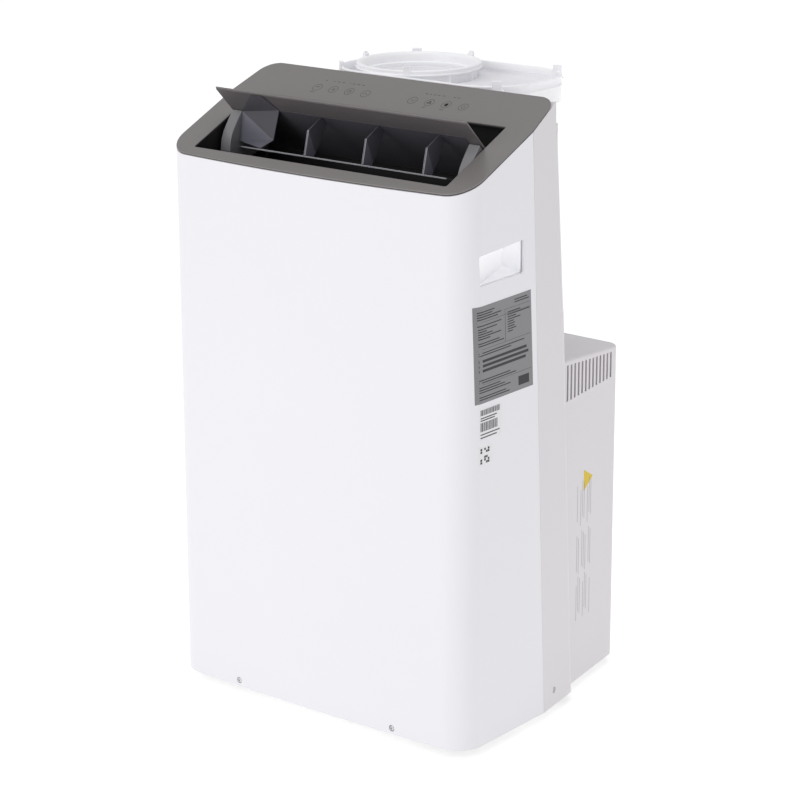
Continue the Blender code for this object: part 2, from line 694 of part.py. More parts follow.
def louvre():
    origin = (0.0, PIVOT_Y, PIVOT_Z)
    flap = [along_flap(0.0), along_flap(FLAP_CHORD), along_flap(FLAP_CHORD, FLAP_THICK),
            along_flap(0.002, FLAP_THICK)]
    place("louvre_flap", prism_x(flap, -FLAP_HALF, FLAP_HALF), FLAP, origin=origin)

    under = FLAP_THICK + GAP
    cheek = [along_flap(0.0445, under), (0.0845, 0.757), (0.076, 0.746), (0.069, 0.7356),
             (0.0655, 0.727), (0.0647, 0.719)]
    cheek += arc(PIVOT_Y, PIVOT_Z, 0.0335, 212.0, 300.0, 5)
    cheek += [along_flap(FLAP_CHORD - 0.004, under)]
    for name, side in (("louvre_cheek_left", -1), ("louvre_cheek_right", 1)):
        obj = place(name, prism_x(cheek, side * CHEEK_IN, side * CHEEK_OUT), FLAP, origin=origin)
        ends = sorted((side * (CHEEK_OUT - 0.002), side * 0.2090))
        cut(obj, rod(PIN_RADIUS, ends[0], ends[1], 16, "X", origin), "UNION")

    half = CHEEK_IN - GAP
    outline = [(-0.115, 0.044), (half, 0.044), (half, 0.068), (-0.140, 0.068), (-half, 0.0905),
               (-half, 0.0843)]
    blade = prism(outline, lambda x, y: blade_z(y, 0.0012), lambda x, y: blade_z(y))
    place("louvre_blade", blade, SMOKE, origin=origin)

    vane = [along_flap(0.0320, under), (0.0540, 0.7588), (0.0465, 0.7279), (0.0640, 0.7233),
            (0.0765, 0.7390), along_flap(0.0455, under)]
    for i, x in enumerate((-0.0425, 0.0515, 0.1470)):
        place(f"louvre_vane_{i + 1}", prism_x(vane, x - 0.001, x + 0.001), SMOKE, origin=origin)

    corners = [(-half, *along_flap(0.0465, under)), (-0.139, *along_flap(0.003, under)),
               (-0.125, *along_flap(0.003, under)), (-0.1125, *along_flap(0.0320, under)),
               (-0.112, 0.068, 0.7357), (-0.115, 0.046, 0.7285), (-half, 0.0843, 0.7240)]
    folds = ((0, 1, 2, 3), (0, 3, 4), (0, 4, 6), (6, 4, 5))
    plate = folded_plate(corners, folds, (0.0, -0.0013, 0.0004))
    place("louvre_deflector", plate, SMOKE, origin=origin)


def blade_z(y, drop=0.0):
    """Top of the cross blade, nearly level and falling a little to the back."""
    return 0.7278 - 0.26 * (y - 0.044) - drop


def folded_plate(corners, folds, shift):
    """Thin plate folded where its faces meet: corners in order round the edge, then the faces."""
    bm = bmesh.new()
    skins = []
    for move in (Vector(), Vector(shift)):
        skins.append([bm.verts.new(Vector(point) + move) for point in corners])
    for skin in skins:
        for fold in folds:
            bm.faces.new([skin[i] for i in fold])
    top, under = skins
    for i in range(len(corners)):
        j = (i + 1) % len(corners)
        bm.faces.new((top[i], top[j], under[j], under[i]))
    return bm


def duct_ring(inset, x0, x1, y0, y1, level):
    near, far = y0 + inset, y1 - inset
    left, right = x0 + inset, x1 - inset
    return [(x, y, level(y)) for x, y in ((left, near), (right, near), (right, far), (left, far))]


def outlet_duct():
    """Black throat from the blower's outlet up to the opening in the bezel."""
    bm = bmesh.new()
    walls = []
    drop = PANEL_THICK + GAP
    mouth = (-DUCT_HALF, DUCT_HALF, DUCT_FRONT, DUCT_BACK)
    for inset in (0.0, 0.002):
        walls.append([duct_ring(inset, -0.132, 0.049, 0.045, 0.135, lambda y: 0.6004),
                      duct_ring(inset, *mouth, lambda y: 0.672),
                      duct_ring(inset, *mouth, lambda y: panel_z(y, drop))])
    out, ins = [[[bm.verts.new(p) for p in ring] for ring in stack] for stack in walls]
    for k in range(2):
        for i in range(4):
            j = (i + 1) % 4
            bm.faces.new((out[k][i], out[k][j], out[k + 1][j], out[k + 1][i]))
            bm.faces.new((ins[k][i], ins[k + 1][i], ins[k + 1][j], ins[k][j]))
    for k in (0, 2):
        for i in range(4):
            j = (i + 1) % 4
            bm.faces.new((out[k][i], ins[k][i], ins[k][j], out[k][j]))
    obj = place("outlet_duct", bm, DARK)
    cut(obj, rod(PIN_RADIUS + 0.0003, -0.25, 0.25, 16, "X", (0.0, PIVOT_Y, PIVOT_Z)))
    return obj


def louvre_motor():
    at = (0.0, PIVOT_Y, PIVOT_Z)
    place("louvre_motor", rod(0.014, -0.2345, -0.2095, 20, "X", at), STEEL)


# ---------------------------------------------------------------- blowers


def scroll(name, cx, cz, y0, y1, wheel, low_gap, high_gap, top, intake, shaft):
    """Volute with its outlet on top; the intake faces the back and the motor the front."""
    def outline(inset, lift):
        points = [(cx - wheel - high_gap + inset, top + lift)]
        steps = 18
        for i in range(steps + 1):
            t = i / steps
            radius = wheel + high_gap + (low_gap - high_gap) * t - inset
            angle = math.radians(180.0 + 240.0 * t)
            points.append((cx + radius * math.cos(angle), cz + radius * math.sin(angle)))
        points.append((points[-1][0], top + lift))
        return points

    wall = 0.002
    obj = place(name, prism_y(outline(0.0, 0.0), y0, y1), STYRENE)
    cut(obj, prism_y(outline(wall, 0.01), y0 + wall, y1 - wall))
    cut(obj, rod(intake, y1 - 0.01, y1 + 0.01, 28, "Y", (cx, 0.0, cz)))
    cut(obj, rod(shaft, y0 - 0.01, y0 + 0.01, 16, "Y", (cx, 0.0, cz)))
    return obj


def blower_wheel(name, cx, cz, y0, y1, radius, shaft_end, blades=12):
    """Squirrel-cage wheel on the Y axis with its shaft pointing to the front."""
    inner = radius - 0.014
    profile = [(0.0, shaft_end), (0.004, shaft_end), (0.004, y0), (radius, y0), (radius, y1),
               (inner, y1), (inner, y0 + 0.003), (0.0, y0 + 0.003)]
    origin = (cx, (y0 + y1) / 2, cz)
    obj = place(name, turned(profile, 24, "Y", (cx, 0.0, cz)), NYLON, origin=origin)
    gaps = bmesh.new()
    half = math.pi * radius / blades - 0.0045
    for i in range(blades):
        angle = 2 * math.pi * i / blades
        turn = Matrix.Rotation(angle, 4, "Y")
        before = set(gaps.verts)
        block((inner - 0.004, y0 + 0.007, -half), (radius + 0.004, y1 - 0.006, half), bm=gaps)
        fresh = [v for v in gaps.verts if v not in before]
        bmesh.ops.transform(gaps, matrix=Matrix.Translation((cx, 0.0, cz)) @ turn, verts=fresh)
    cut(obj, gaps)
    return obj


def motor(name, cx, cz, y0, y1, radius, bore_from):
    profile = [(0.0, y0), (radius - 0.006, y0), (radius, y0 + 0.005), (radius, y1 - 0.005),
               (radius - 0.006, y1), (0.0, y1)]
    obj = place(name, turned(profile, 24, "Y", (cx, 0.0, cz)), STEEL)
    cut(obj, rod(0.0042, bore_from, y1 + 0.01, 24, "Y", (cx, 0.0, cz)))
    return obj


def blowers():
    scroll("evaporator_scroll", 0.0, 0.505, 0.045, 0.135, 0.085, 0.010, 0.047, 0.600, 0.066, 0.012)
    blower_wheel("evaporator_wheel", 0.0, 0.505, 0.051, 0.129, 0.085, 0.030)
    motor("evaporator_motor", 0.0, 0.505, 0.008, 0.042, 0.040, 0.026)
    scroll("condenser_scroll", 0.012, 0.190, 0.268, 0.3355, 0.085, 0.010, 0.042, 0.4355, 0.066, 0.012)
    blower_wheel("condenser_wheel", 0.012, 0.190, 0.274, 0.3295, 0.085, 0.254)
    motor("condenser_motor", 0.012, 0.190, 0.205, 0.265, 0.042, 0.248)


# ---------------------------------------------------------------- refrigerant circuit


def fin_block(name, x0, x1, y0, y1, z0, z1, fins):
    """Coil block whose front and back faces show upright fins."""
    pitch = (x1 - x0) / fins
    depth = 0.003
    front, back = [], []
    for i in range(fins):
        a = x0 + pitch * i
        b = a + pitch * 0.55
        front += [(a, y0), (b, y0), (b, y0 + depth), (a + pitch, y0 + depth)]
        back += [(a, y1), (b, y1), (b, y1 - depth), (a + pitch, y1 - depth)]
    return place(name, prism(front + back[::-1], z0, z1), ALUMINIUM)


def pipe(name, route, radius):
    """Copper tube bent along a smooth line through its route points."""
    curve = bpy.data.curves.new(name, "CURVE")
    curve.dimensions = "3D"
    curve.bevel_depth = radius
    curve.bevel_resolution = 1
    curve.use_fill_caps = True
    points = smooth_route(route)
    spline = curve.splines.new("POLY")
    spline.points.add(len(points) - 1)
    for slot, point in zip(spline.points, points):
        slot.co = (*point, 1.0)
    obj = bpy.data.objects.new(name, curve)
    obj.parent = UNIT
    curve.materials.append(material(*COPPER))
    bpy.context.scene.collection.objects.link(obj)
    return obj


def smooth_route(route, steps=3):
    """Catmull-Rom points through a route."""
    pts = [Vector(p) for p in route]
    pts = [pts[0] * 2 - pts[1]] + pts + [pts[-1] * 2 - pts[-2]]
    out = []
    for i in range(1, len(pts) - 2):
        a, b, c, d = pts[i - 1:i + 3]
        for k in range(steps):
            t = k / steps
            out.append(0.5 * ((2 * b) + (c - a) * t + (2 * a - 5 * b + 4 * c - d) * t ** 2
                              + (3 * b - a - 3 * c + d) * t ** 3))
    out.append(pts[-2])
    return out


def circuit():
    fin_block("evaporator_coil", -0.190, 0.190, 0.168, 0.208, 0.418, 0.740, 16)
    fin_block("condenser_coil", -0.160, 0.160, 0.352, 0.388, 0.060, 0.425, 14)
    x, y = -0.098, 0.098
    dome = [(0.0, PAN_TOP + GAP), (0.064, PAN_TOP + GAP), (0.064, 0.048), (0.060, 0.050), (0.060, 0.225)]
    dome += [(r, 0.225 + h) for r, h in arc(0.040, 0.0, 0.020, 0.0, 90.0, 3)[1:]]
    dome += [(0.0, 0.250)]
    place("compressor", turned(dome, 28, "Z", (x, y, 0.0)), ENAMEL)
    ax, ay = -0.185, 0.175
    can = [(0.0, 0.100), (0.014, 0.102), (0.024, 0.112), (0.024, 0.235), (0.014, 0.245), (0.0, 0.247)]
    place("accumulator", turned(can, 20, "Z", (ax, ay, 0.0)), ENAMEL)
    pipe("discharge_pipe", [(x + 0.03, y, 0.249), (x + 0.03, y, 0.285), (x + 0.08, y + 0.01, 0.312),
                            (x + 0.20, y + 0.02, 0.300), (x + 0.265, 0.170, 0.275), (0.168, 0.260, 0.262),
                            (0.172, 0.320, 0.262), (0.1655, 0.366, 0.262)], 0.004)
    pipe("suction_pipe", [(ax, ay, 0.2478), (ax, ay, 0.275), (ax - 0.008, ay + 0.002, 0.305),
                          (-0.212, 0.184, 0.350), (-0.214, 0.188, 0.400), (-0.214, 0.193, 0.440),
                          (-0.208, 0.192, 0.470), (-0.1955, 0.188, 0.480)], 0.0055)
    pipe("liquid_line", [(0.1650, 0.366, 0.100), (0.173, 0.352, 0.100), (0.173, 0.300, 0.108),
                         (0.171, 0.262, 0.120), (0.192, 0.222, 0.150), (0.213, 0.195, 0.220),
                         (0.217, 0.183, 0.350), (0.216, 0.184, 0.440), (0.205, 0.188, 0.462),
                         (0.1945, 0.188, 0.466)], 0.003)


# ---------------------------------------------------------------- base, drain, controls


def base_plan(inset):
    """Base outline: fits inside the casing in front and the condenser housing behind."""
    edge = WALL + GAP + inset
    level = 0.02
    back = rear_y(level) - 0.030 - inset
    step = rear_y(level) + 0.004 + inset
    half = [(0.0, 0.4160 - inset), (0.165, 0.4140 - inset),
            (box_side_x(0.396, edge) - 0.001, 0.396 - inset),
            (box_side_x(step, edge), step), (0.180 - inset, step), (0.180 - inset, back),
            (side_x(back, 0.0, edge) - 0.001, back), (HALF_WIDTH - edge - 0.0005, seam_y(level))]
    return mirrored((half + front_half(edge))[1:]) + [half[0]]


def base_pan():
    obj = place("base_pan", prism(base_plan(0.0), 0.0028, PAN_TOP), STYRENE)
    cut(obj, prism(base_plan(0.003), -0.02, BASE_BOTTOM))
    for x, y in CASTERS.values():
        cut(obj, rod(0.0052, 0.0, 0.06, 16, "Z", (x, y, 0.0)))
    for x in (-SCREW_X, SCREW_X):
        cut(obj, rod(0.0021, -0.01, 0.02, 12, "Y", (x, 0.0, SCREW_Z)))
    y, z = SIDE_SCREW
    cut(obj, rod(0.0021, -0.26, 0.26, 12, "X", (0.0, y, z)))
    return obj


def drain_pan():
    """Deck between the two halves of the machine; its trough catches the coil's water."""
    edge = WALL + 0.001
    half = [(side_x(0.225, DECK_Z, edge), 0.225), (HALF_WIDTH - edge - 0.0005, seam_y(DECK_Z))]
    half += front_half(edge)
    obj = place("drain_pan", prism(mirrored(half), DECK_Z, DECK_Z + 0.030), STYRENE)
    cut(obj, block((-0.200, 0.160, DECK_Z + 0.006), (0.200, 0.219, DECK_Z + 0.05)))
    cut(obj, block((-0.200, 0.020, DECK_Z + 0.006), (0.200, 0.150, DECK_Z + 0.05)))
    cut(obj, rod(0.0105, DECK_Z - 0.01, DECK_Z + 0.06, 16, "Z", (-0.2135, 0.187, 0.0)))
    cut(obj, rod(0.0080, DECK_Z - 0.01, DECK_Z + 0.06, 16, "Z", (0.217, 0.183, 0.0)))
    return obj


def slinger():
    cx, cz, y0, y1 = 0.125, 0.086, 0.3400, 0.3470
    paddle = []
    for i in range(8):
        for turn, radius in ((-9, 0.034), (-7, 0.044), (7, 0.044), (9, 0.034)):
            angle = math.radians(45.0 * i + turn)
            paddle.append((cx + radius * math.cos(angle), cz + radius * math.sin(angle)))
    origin = (cx, (y0 + y1) / 2, cz)
    obj = place("slinger_wheel", prism_y(paddle, y0, y1), NYLON, origin=origin)
    cut(obj, rod(0.003, 0.326, y0 + 0.003, 16, "Y", (cx, 0.0, cz)), "UNION")
    body = place("slinger_motor", rod(0.017, 0.300, 0.3385, 20, "Y", (cx, 0.0, cz)), STEEL)
    cut(body, rod(0.0032, 0.324, 0.36, 20, "Y", (cx, 0.0, cz)))


def controls():
    place("control_box", block((0.152, 0.035, 0.430), (0.232, 0.145, 0.585)), STEEL)
    low, high = 0.0085, 0.0068
    board = [(0.1665, panel_z(0.1665, low)), (0.1985, panel_z(0.1985, low)),
             (0.1985, panel_z(0.1985, high)), (0.1665, panel_z(0.1665, high))]
    place("display_board", prism_x(board, -0.150, 0.150), BOARD)
    stem = [(0.0, PAN_TOP + GAP), (0.012, PAN_TOP + GAP), (0.012, 0.040), (0.003, 0.041), (0.003, 0.052),
            (0.010, 0.053), (0.010, 0.070), (0.003, 0.071), (0.003, 0.080), (0.0, 0.080)]
    place("float_switch", turned(stem, 16, "Z", (0.150, 0.225, 0.0)), PALE)


def rear_fittings():
    skin = BOX_BACK
    cap = [(0.0, skin - 0.014), (0.0066, skin - 0.014), (0.0070, skin - 0.012), (0.0070, skin + GAP),
           (0.0115, skin + GAP), (0.0115, skin + 0.004), (0.0095, skin + 0.006), (0.0, skin + 0.006)]
    place("drain_cap", turned(cap, 20, "Y", (DRAIN_X, 0.0, DRAIN_Z)), NYLON,
          origin=(DRAIN_X, skin, DRAIN_Z))
    outer = 0.4222
    gland = [(0.0045, outer - 0.012), (0.0102, outer - 0.012), (0.0102, outer + 0.0008),
             (0.0102, outer + 0.0010), (0.0080, outer + 0.0040), (0.0045, outer + 0.0040)]
    place("cord_gland", turned(gland, 20, "Y", (GLAND_X, 0.0, GLAND_Z)), NYLON)


# ---------------------------------------------------------------- casters


def caster(tag, x, y):
    """Swivel fork with its stem in the base, and a wheel that trails behind the stem."""
    facet = math.cos(math.pi / 24)
    axle_z = WHEEL_RADIUS * facet - SKIRT_Z
    axle_y = y + CASTER_TRAIL
    top = BASE_BOTTOM - 0.0005
    hood = [(axle_y + 0.010, axle_z - 0.006), (axle_y + 0.012, axle_z + 0.006), (y + 0.016, top - 0.004),
            (y + 0.014, top), (y - 0.012, top), (y - 0.013, top - 0.005),
            (axle_y - 0.010, axle_z - 0.006)]
    fork = place(f"caster_fork_{tag}", prism_x(hood, x - 0.0135, x + 0.0135), NYLON, origin=(x, y, 0.0))
    cut(fork, rod(WHEEL_RADIUS + 0.0015, x - 0.0085, x + 0.0085, 24, "X", (0.0, axle_y, axle_z)))
    cut(fork, rod(0.0050, top - 0.003, PAN_TOP + 0.004, 16, "Z", (x, y, 0.0)), "UNION")
    cut(fork, rod(0.0030, x - 0.0100, x + 0.0100, 16, "X", (0.0, axle_y, axle_z)), "UNION")
    rim = WHEEL_RADIUS
    tread = [(0.0032, -0.0075), (rim - 0.002, -0.0075), (rim, -0.0055), (rim, 0.0055),
             (rim - 0.002, 0.0075), (0.0032, 0.0075)]
    place(f"caster_wheel_{tag}", turned(tread, 24, "X", (x, axle_y, axle_z), turn=7.5), NYLON,
          origin=(x, axle_y, axle_z))


# ---------------------------------------------------------------- assembly


def build():
    global UNIT
    clear_scene()
    UNIT = bpy.data.objects.new("unit_datum", None)
    UNIT.location = (0.0, -DEPTH / 2, SKIRT_Z)
    bpy.context.scene.collection.objects.link(UNIT)

    front_casing()
    rear_casing()
    condenser_housing()
    top_bezel()
    for side in (-1, 1):
        handle_cup(side)
        filter_cover(side)
        air_filter(side)
    casing_screws()
    hose_collar()
    exhaust_ring()
    intake_grille()
    riser_housing()
    exhaust_riser()
    louvre()
    outlet_duct()
    louvre_motor()
    blowers()
    circuit()
    base_pan()
    drain_pan()
    slinger()
    controls()
    rear_fittings()
    for tag, (x, y) in CASTERS.items():
        caster(tag, x, y)


build()
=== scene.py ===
"""Looks of the floor-standing air conditioner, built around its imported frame.

Shapes are drawn in the unit's own datum, y = 0 at the middle of the front face and z = 0 at the
casing's bottom edge, and DATUM carries them into the frame.
"""

import math

import bmesh
import bpy
from mathutils import Matrix, Vector


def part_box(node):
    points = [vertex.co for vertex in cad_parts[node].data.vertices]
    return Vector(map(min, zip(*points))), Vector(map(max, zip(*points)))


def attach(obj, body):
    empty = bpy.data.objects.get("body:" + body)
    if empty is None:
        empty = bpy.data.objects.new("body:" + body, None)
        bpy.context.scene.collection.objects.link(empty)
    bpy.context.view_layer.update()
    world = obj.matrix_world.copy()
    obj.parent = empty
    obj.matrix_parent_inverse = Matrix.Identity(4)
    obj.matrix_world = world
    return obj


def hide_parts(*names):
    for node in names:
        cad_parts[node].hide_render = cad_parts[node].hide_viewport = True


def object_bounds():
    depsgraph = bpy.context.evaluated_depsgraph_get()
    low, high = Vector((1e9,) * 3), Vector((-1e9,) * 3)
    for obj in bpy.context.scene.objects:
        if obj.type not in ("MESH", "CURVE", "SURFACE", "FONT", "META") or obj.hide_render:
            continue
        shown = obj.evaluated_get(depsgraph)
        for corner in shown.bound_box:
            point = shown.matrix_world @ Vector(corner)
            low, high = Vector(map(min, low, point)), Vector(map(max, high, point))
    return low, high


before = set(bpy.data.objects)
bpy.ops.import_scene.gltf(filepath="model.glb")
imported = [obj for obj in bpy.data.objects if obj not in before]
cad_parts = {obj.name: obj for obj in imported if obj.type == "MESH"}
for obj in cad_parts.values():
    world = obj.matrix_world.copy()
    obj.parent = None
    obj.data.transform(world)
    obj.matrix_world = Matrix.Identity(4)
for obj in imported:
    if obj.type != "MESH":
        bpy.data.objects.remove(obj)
CAD_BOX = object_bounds()
DATUM = Vector((0.0, CAD_BOX[0].y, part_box("front_casing")[0].z))

# ---------------------------------------------------------------- sizes, from the frame where it has them


def node_box(name):
    """A node's lowest and highest corners in the unit's datum."""
    low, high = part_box(name)
    return low - DATUM, high - DATUM


HALF_WIDTH = node_box("front_casing")[1].x
GAP = 0.0004
WALL = 0.003
FRONT_BOW = 0.0061
FRONT_RADIUS = 0.037
SEAM_Y = 0.179
SEAM_LEAN = 0.0497
SIDE_TAPER = 0.1638
REAR_RADIUS = 0.025
PANEL_Z, PANEL_SLOPE, PANEL_THICK = 0.7165, 0.4508, 0.0030
BEZEL_BACK = node_box("top_bezel")[1].y
OPEN_FRONT, OPEN_BACK, OPEN_HALF = 0.0178, 0.1388, 0.205
PIVOT_Y, PIVOT_Z = 0.0925, 0.7307
FLAP_TIP = (0.060, 0.797)
FLAP_CHORD, FLAP_THICK = 0.1250, 0.0025
FLAP_HALF = node_box("louvre_flap")[1].x
CHEEK_OUT, CHEEK_IN = 0.2015, 0.185
BOX_TOP = node_box("condenser_housing")[1].z
BOX_FRONT = 0.2488
BOX_FALL = 0.106
BOX_SIDE, BOX_SIDE_Y = 0.2132, 0.2902
BOX_RADIUS, BOX_BOW = 0.022, 0.004
BOX_BACK = node_box("condenser_housing")[1].y
SLOT_Y, SLOT_PITCH, SLOT_COUNT = 0.2597, 0.01086, 13
SLOT_LOW, SLOT_HIGH, SLOT_HALF = 0.402, 0.4507, 0.0025
WINDOW_HALF, WINDOW_TOP = 0.183, 0.425
COLLAR_LOW, COLLAR_TOP = 0.775, 0.810
COLLAR_HALF, COLLAR_RADIUS = 0.1495, 0.065
COLLAR_FRONT, COLLAR_BACK = 0.205, 0.380
RING_X, RING_Y, RING_TOP = -0.052, 0.2925, 0.8155
RISER_LOW = 0.4362
SHELF_FRONT, SHELF_BACK, SHELF_THICK = 0.178, 0.202, 0.0025
CUP_SEAT, CUP_SHALLOW, CUP_DEEP = 0.0021, 0.0040, 0.0255
HANDLE = ((0.0355, 0.6026), (0.1236, 0.6040), (0.1236, 0.6461), (0.0331, 0.6404))
SCREW_X, SCREW_Z, SCREW_HOLE = 0.131, 0.0085, 0.0042
SIDE_SCREW = (0.209, 0.022)
COVER_LOW, COVER_HIGH, COVER_IN = 0.530, 0.768, 0.150
SLAT_PITCH = 0.0040
DRAIN_X, DRAIN_Z = 0.0, 0.052
GLAND_X, GLAND_Z = -0.120, 0.075
KEY_RADIUS, KEY_LINE = 0.0068, 0.00055
KEY_Y, KEY_FIRST, KEY_PITCH = 0.164, 0.0387, 0.0269

# ---------------------------------------------------------------- materials


class Look:
    """A Principled material with room for procedural detail, in object coordinates (metres)."""

    def __init__(self, name, color, rough, metal=0.0, coat=0.0):
        self.mat = bpy.data.materials.new(name)
        self.mat.use_nodes = True
        self.nodes = self.mat.node_tree.nodes
        self.links = self.mat.node_tree.links
        self.shader = self.nodes["Principled BSDF"]
        self.shader.inputs["Base Color"].default_value = (*color, 1.0)
        self.shader.inputs["Roughness"].default_value = rough
        self.shader.inputs["Metallic"].default_value = metal
        self.shader.inputs["Coat Weight"].default_value = coat
        self.shader.inputs["Coat Roughness"].default_value = 0.08
        self.color, self.rough = color, rough
        self.place = self.nodes.new("ShaderNodeTexCoord").outputs["Object"]
        self.height = None

    def stretched(self, scale):
        node = self.nodes.new("ShaderNodeMapping")
        node.inputs["Scale"].default_value = scale
        self.links.new(self.place, node.inputs["Vector"])
        return node.outputs["Vector"]

    def noise(self, scale, detail=3.0, stretch=None):
        node = self.nodes.new("ShaderNodeTexNoise")
        node.inputs["Scale"].default_value = scale
        node.inputs["Detail"].default_value = detail
        source = self.stretched(stretch) if stretch else self.place
        self.links.new(source, node.inputs["Vector"])
        return node.outputs["Fac"]

    def bands(self, scale, direction):
        node = self.nodes.new("ShaderNodeTexWave")
        node.bands_direction = direction
        node.inputs["Scale"].default_value = scale
        self.links.new(self.place, node.inputs["Vector"])
        return node.outputs["Fac"]

    def ranged(self, source, low, high, start=0.3, stop=0.7):
        node = self.nodes.new("ShaderNodeMapRange")
        for socket, value in (("From Min", start), ("From Max", stop), ("To Min", low), ("To Max", high)):
            node.inputs[socket].default_value = value
        self.links.new(source, node.inputs["Value"])
        return node.outputs["Result"]

    def tint(self, source, other, start=0.35, stop=0.65):
        """Blend the base colour towards another one where source is high."""
        ramp = self.nodes.new("ShaderNodeValToRGB")
        ramp.color_ramp.elements[0].position = start
        ramp.color_ramp.elements[0].color = (*self.color, 1.0)
        ramp.color_ramp.elements[1].position = stop
        ramp.color_ramp.elements[1].color = (*other, 1.0)
        self.links.new(source, ramp.inputs["Fac"])
        self.links.new(ramp.outputs["Color"], self.shader.inputs["Base Color"])
        return self

    def gloss(self, source, spread):
        result = self.ranged(source, max(0.02, self.rough - spread), self.rough + spread)
        self.links.new(result, self.shader.inputs["Roughness"])
        return self

    def bump(self, source, distance, strength=1.0):
        node = self.nodes.new("ShaderNodeBump")
        node.inputs["Strength"].default_value = strength
        node.inputs["Distance"].default_value = distance
        self.links.new(source, node.inputs["Height"])
        if self.height is not None:
            self.links.new(self.height, node.inputs["Normal"])
        self.height = node.outputs["Normal"]
        self.links.new(self.height, self.shader.inputs["Normal"])
        return self


def shaded(color, factor):
    return tuple(c * factor for c in color)


def moulded(name, color, rough, grain=1400.0, depth=0.000008, spread=0.02, mottle=0.985, coat=0.0):
    """Injection-moulded plastic: fine spark-eroded grain, faint flow mottling, uneven gloss."""
    look = Look(name, color, rough, coat=coat)
    look.tint(look.noise(3.0, 1.0), shaded(color, mottle), 0.25, 0.75)
    look.gloss(look.noise(38.0, 5.0), spread)
    look.bump(look.noise(grain, 2.0), depth)
    return look.mat


def metal_sheet(name, color, rough, stretch, spangle=0.82):
    """Rolled sheet or drawn metal, brushed along one direction."""
    look = Look(name, color, rough, metal=1.0)
    look.tint(look.noise(60.0, 4.0), shaded(color, spangle))
    look.gloss(look.noise(220.0, 6.0, stretch), 0.10)
    look.bump(look.noise(420.0, 4.0, stretch), 0.00003)
    return look.mat


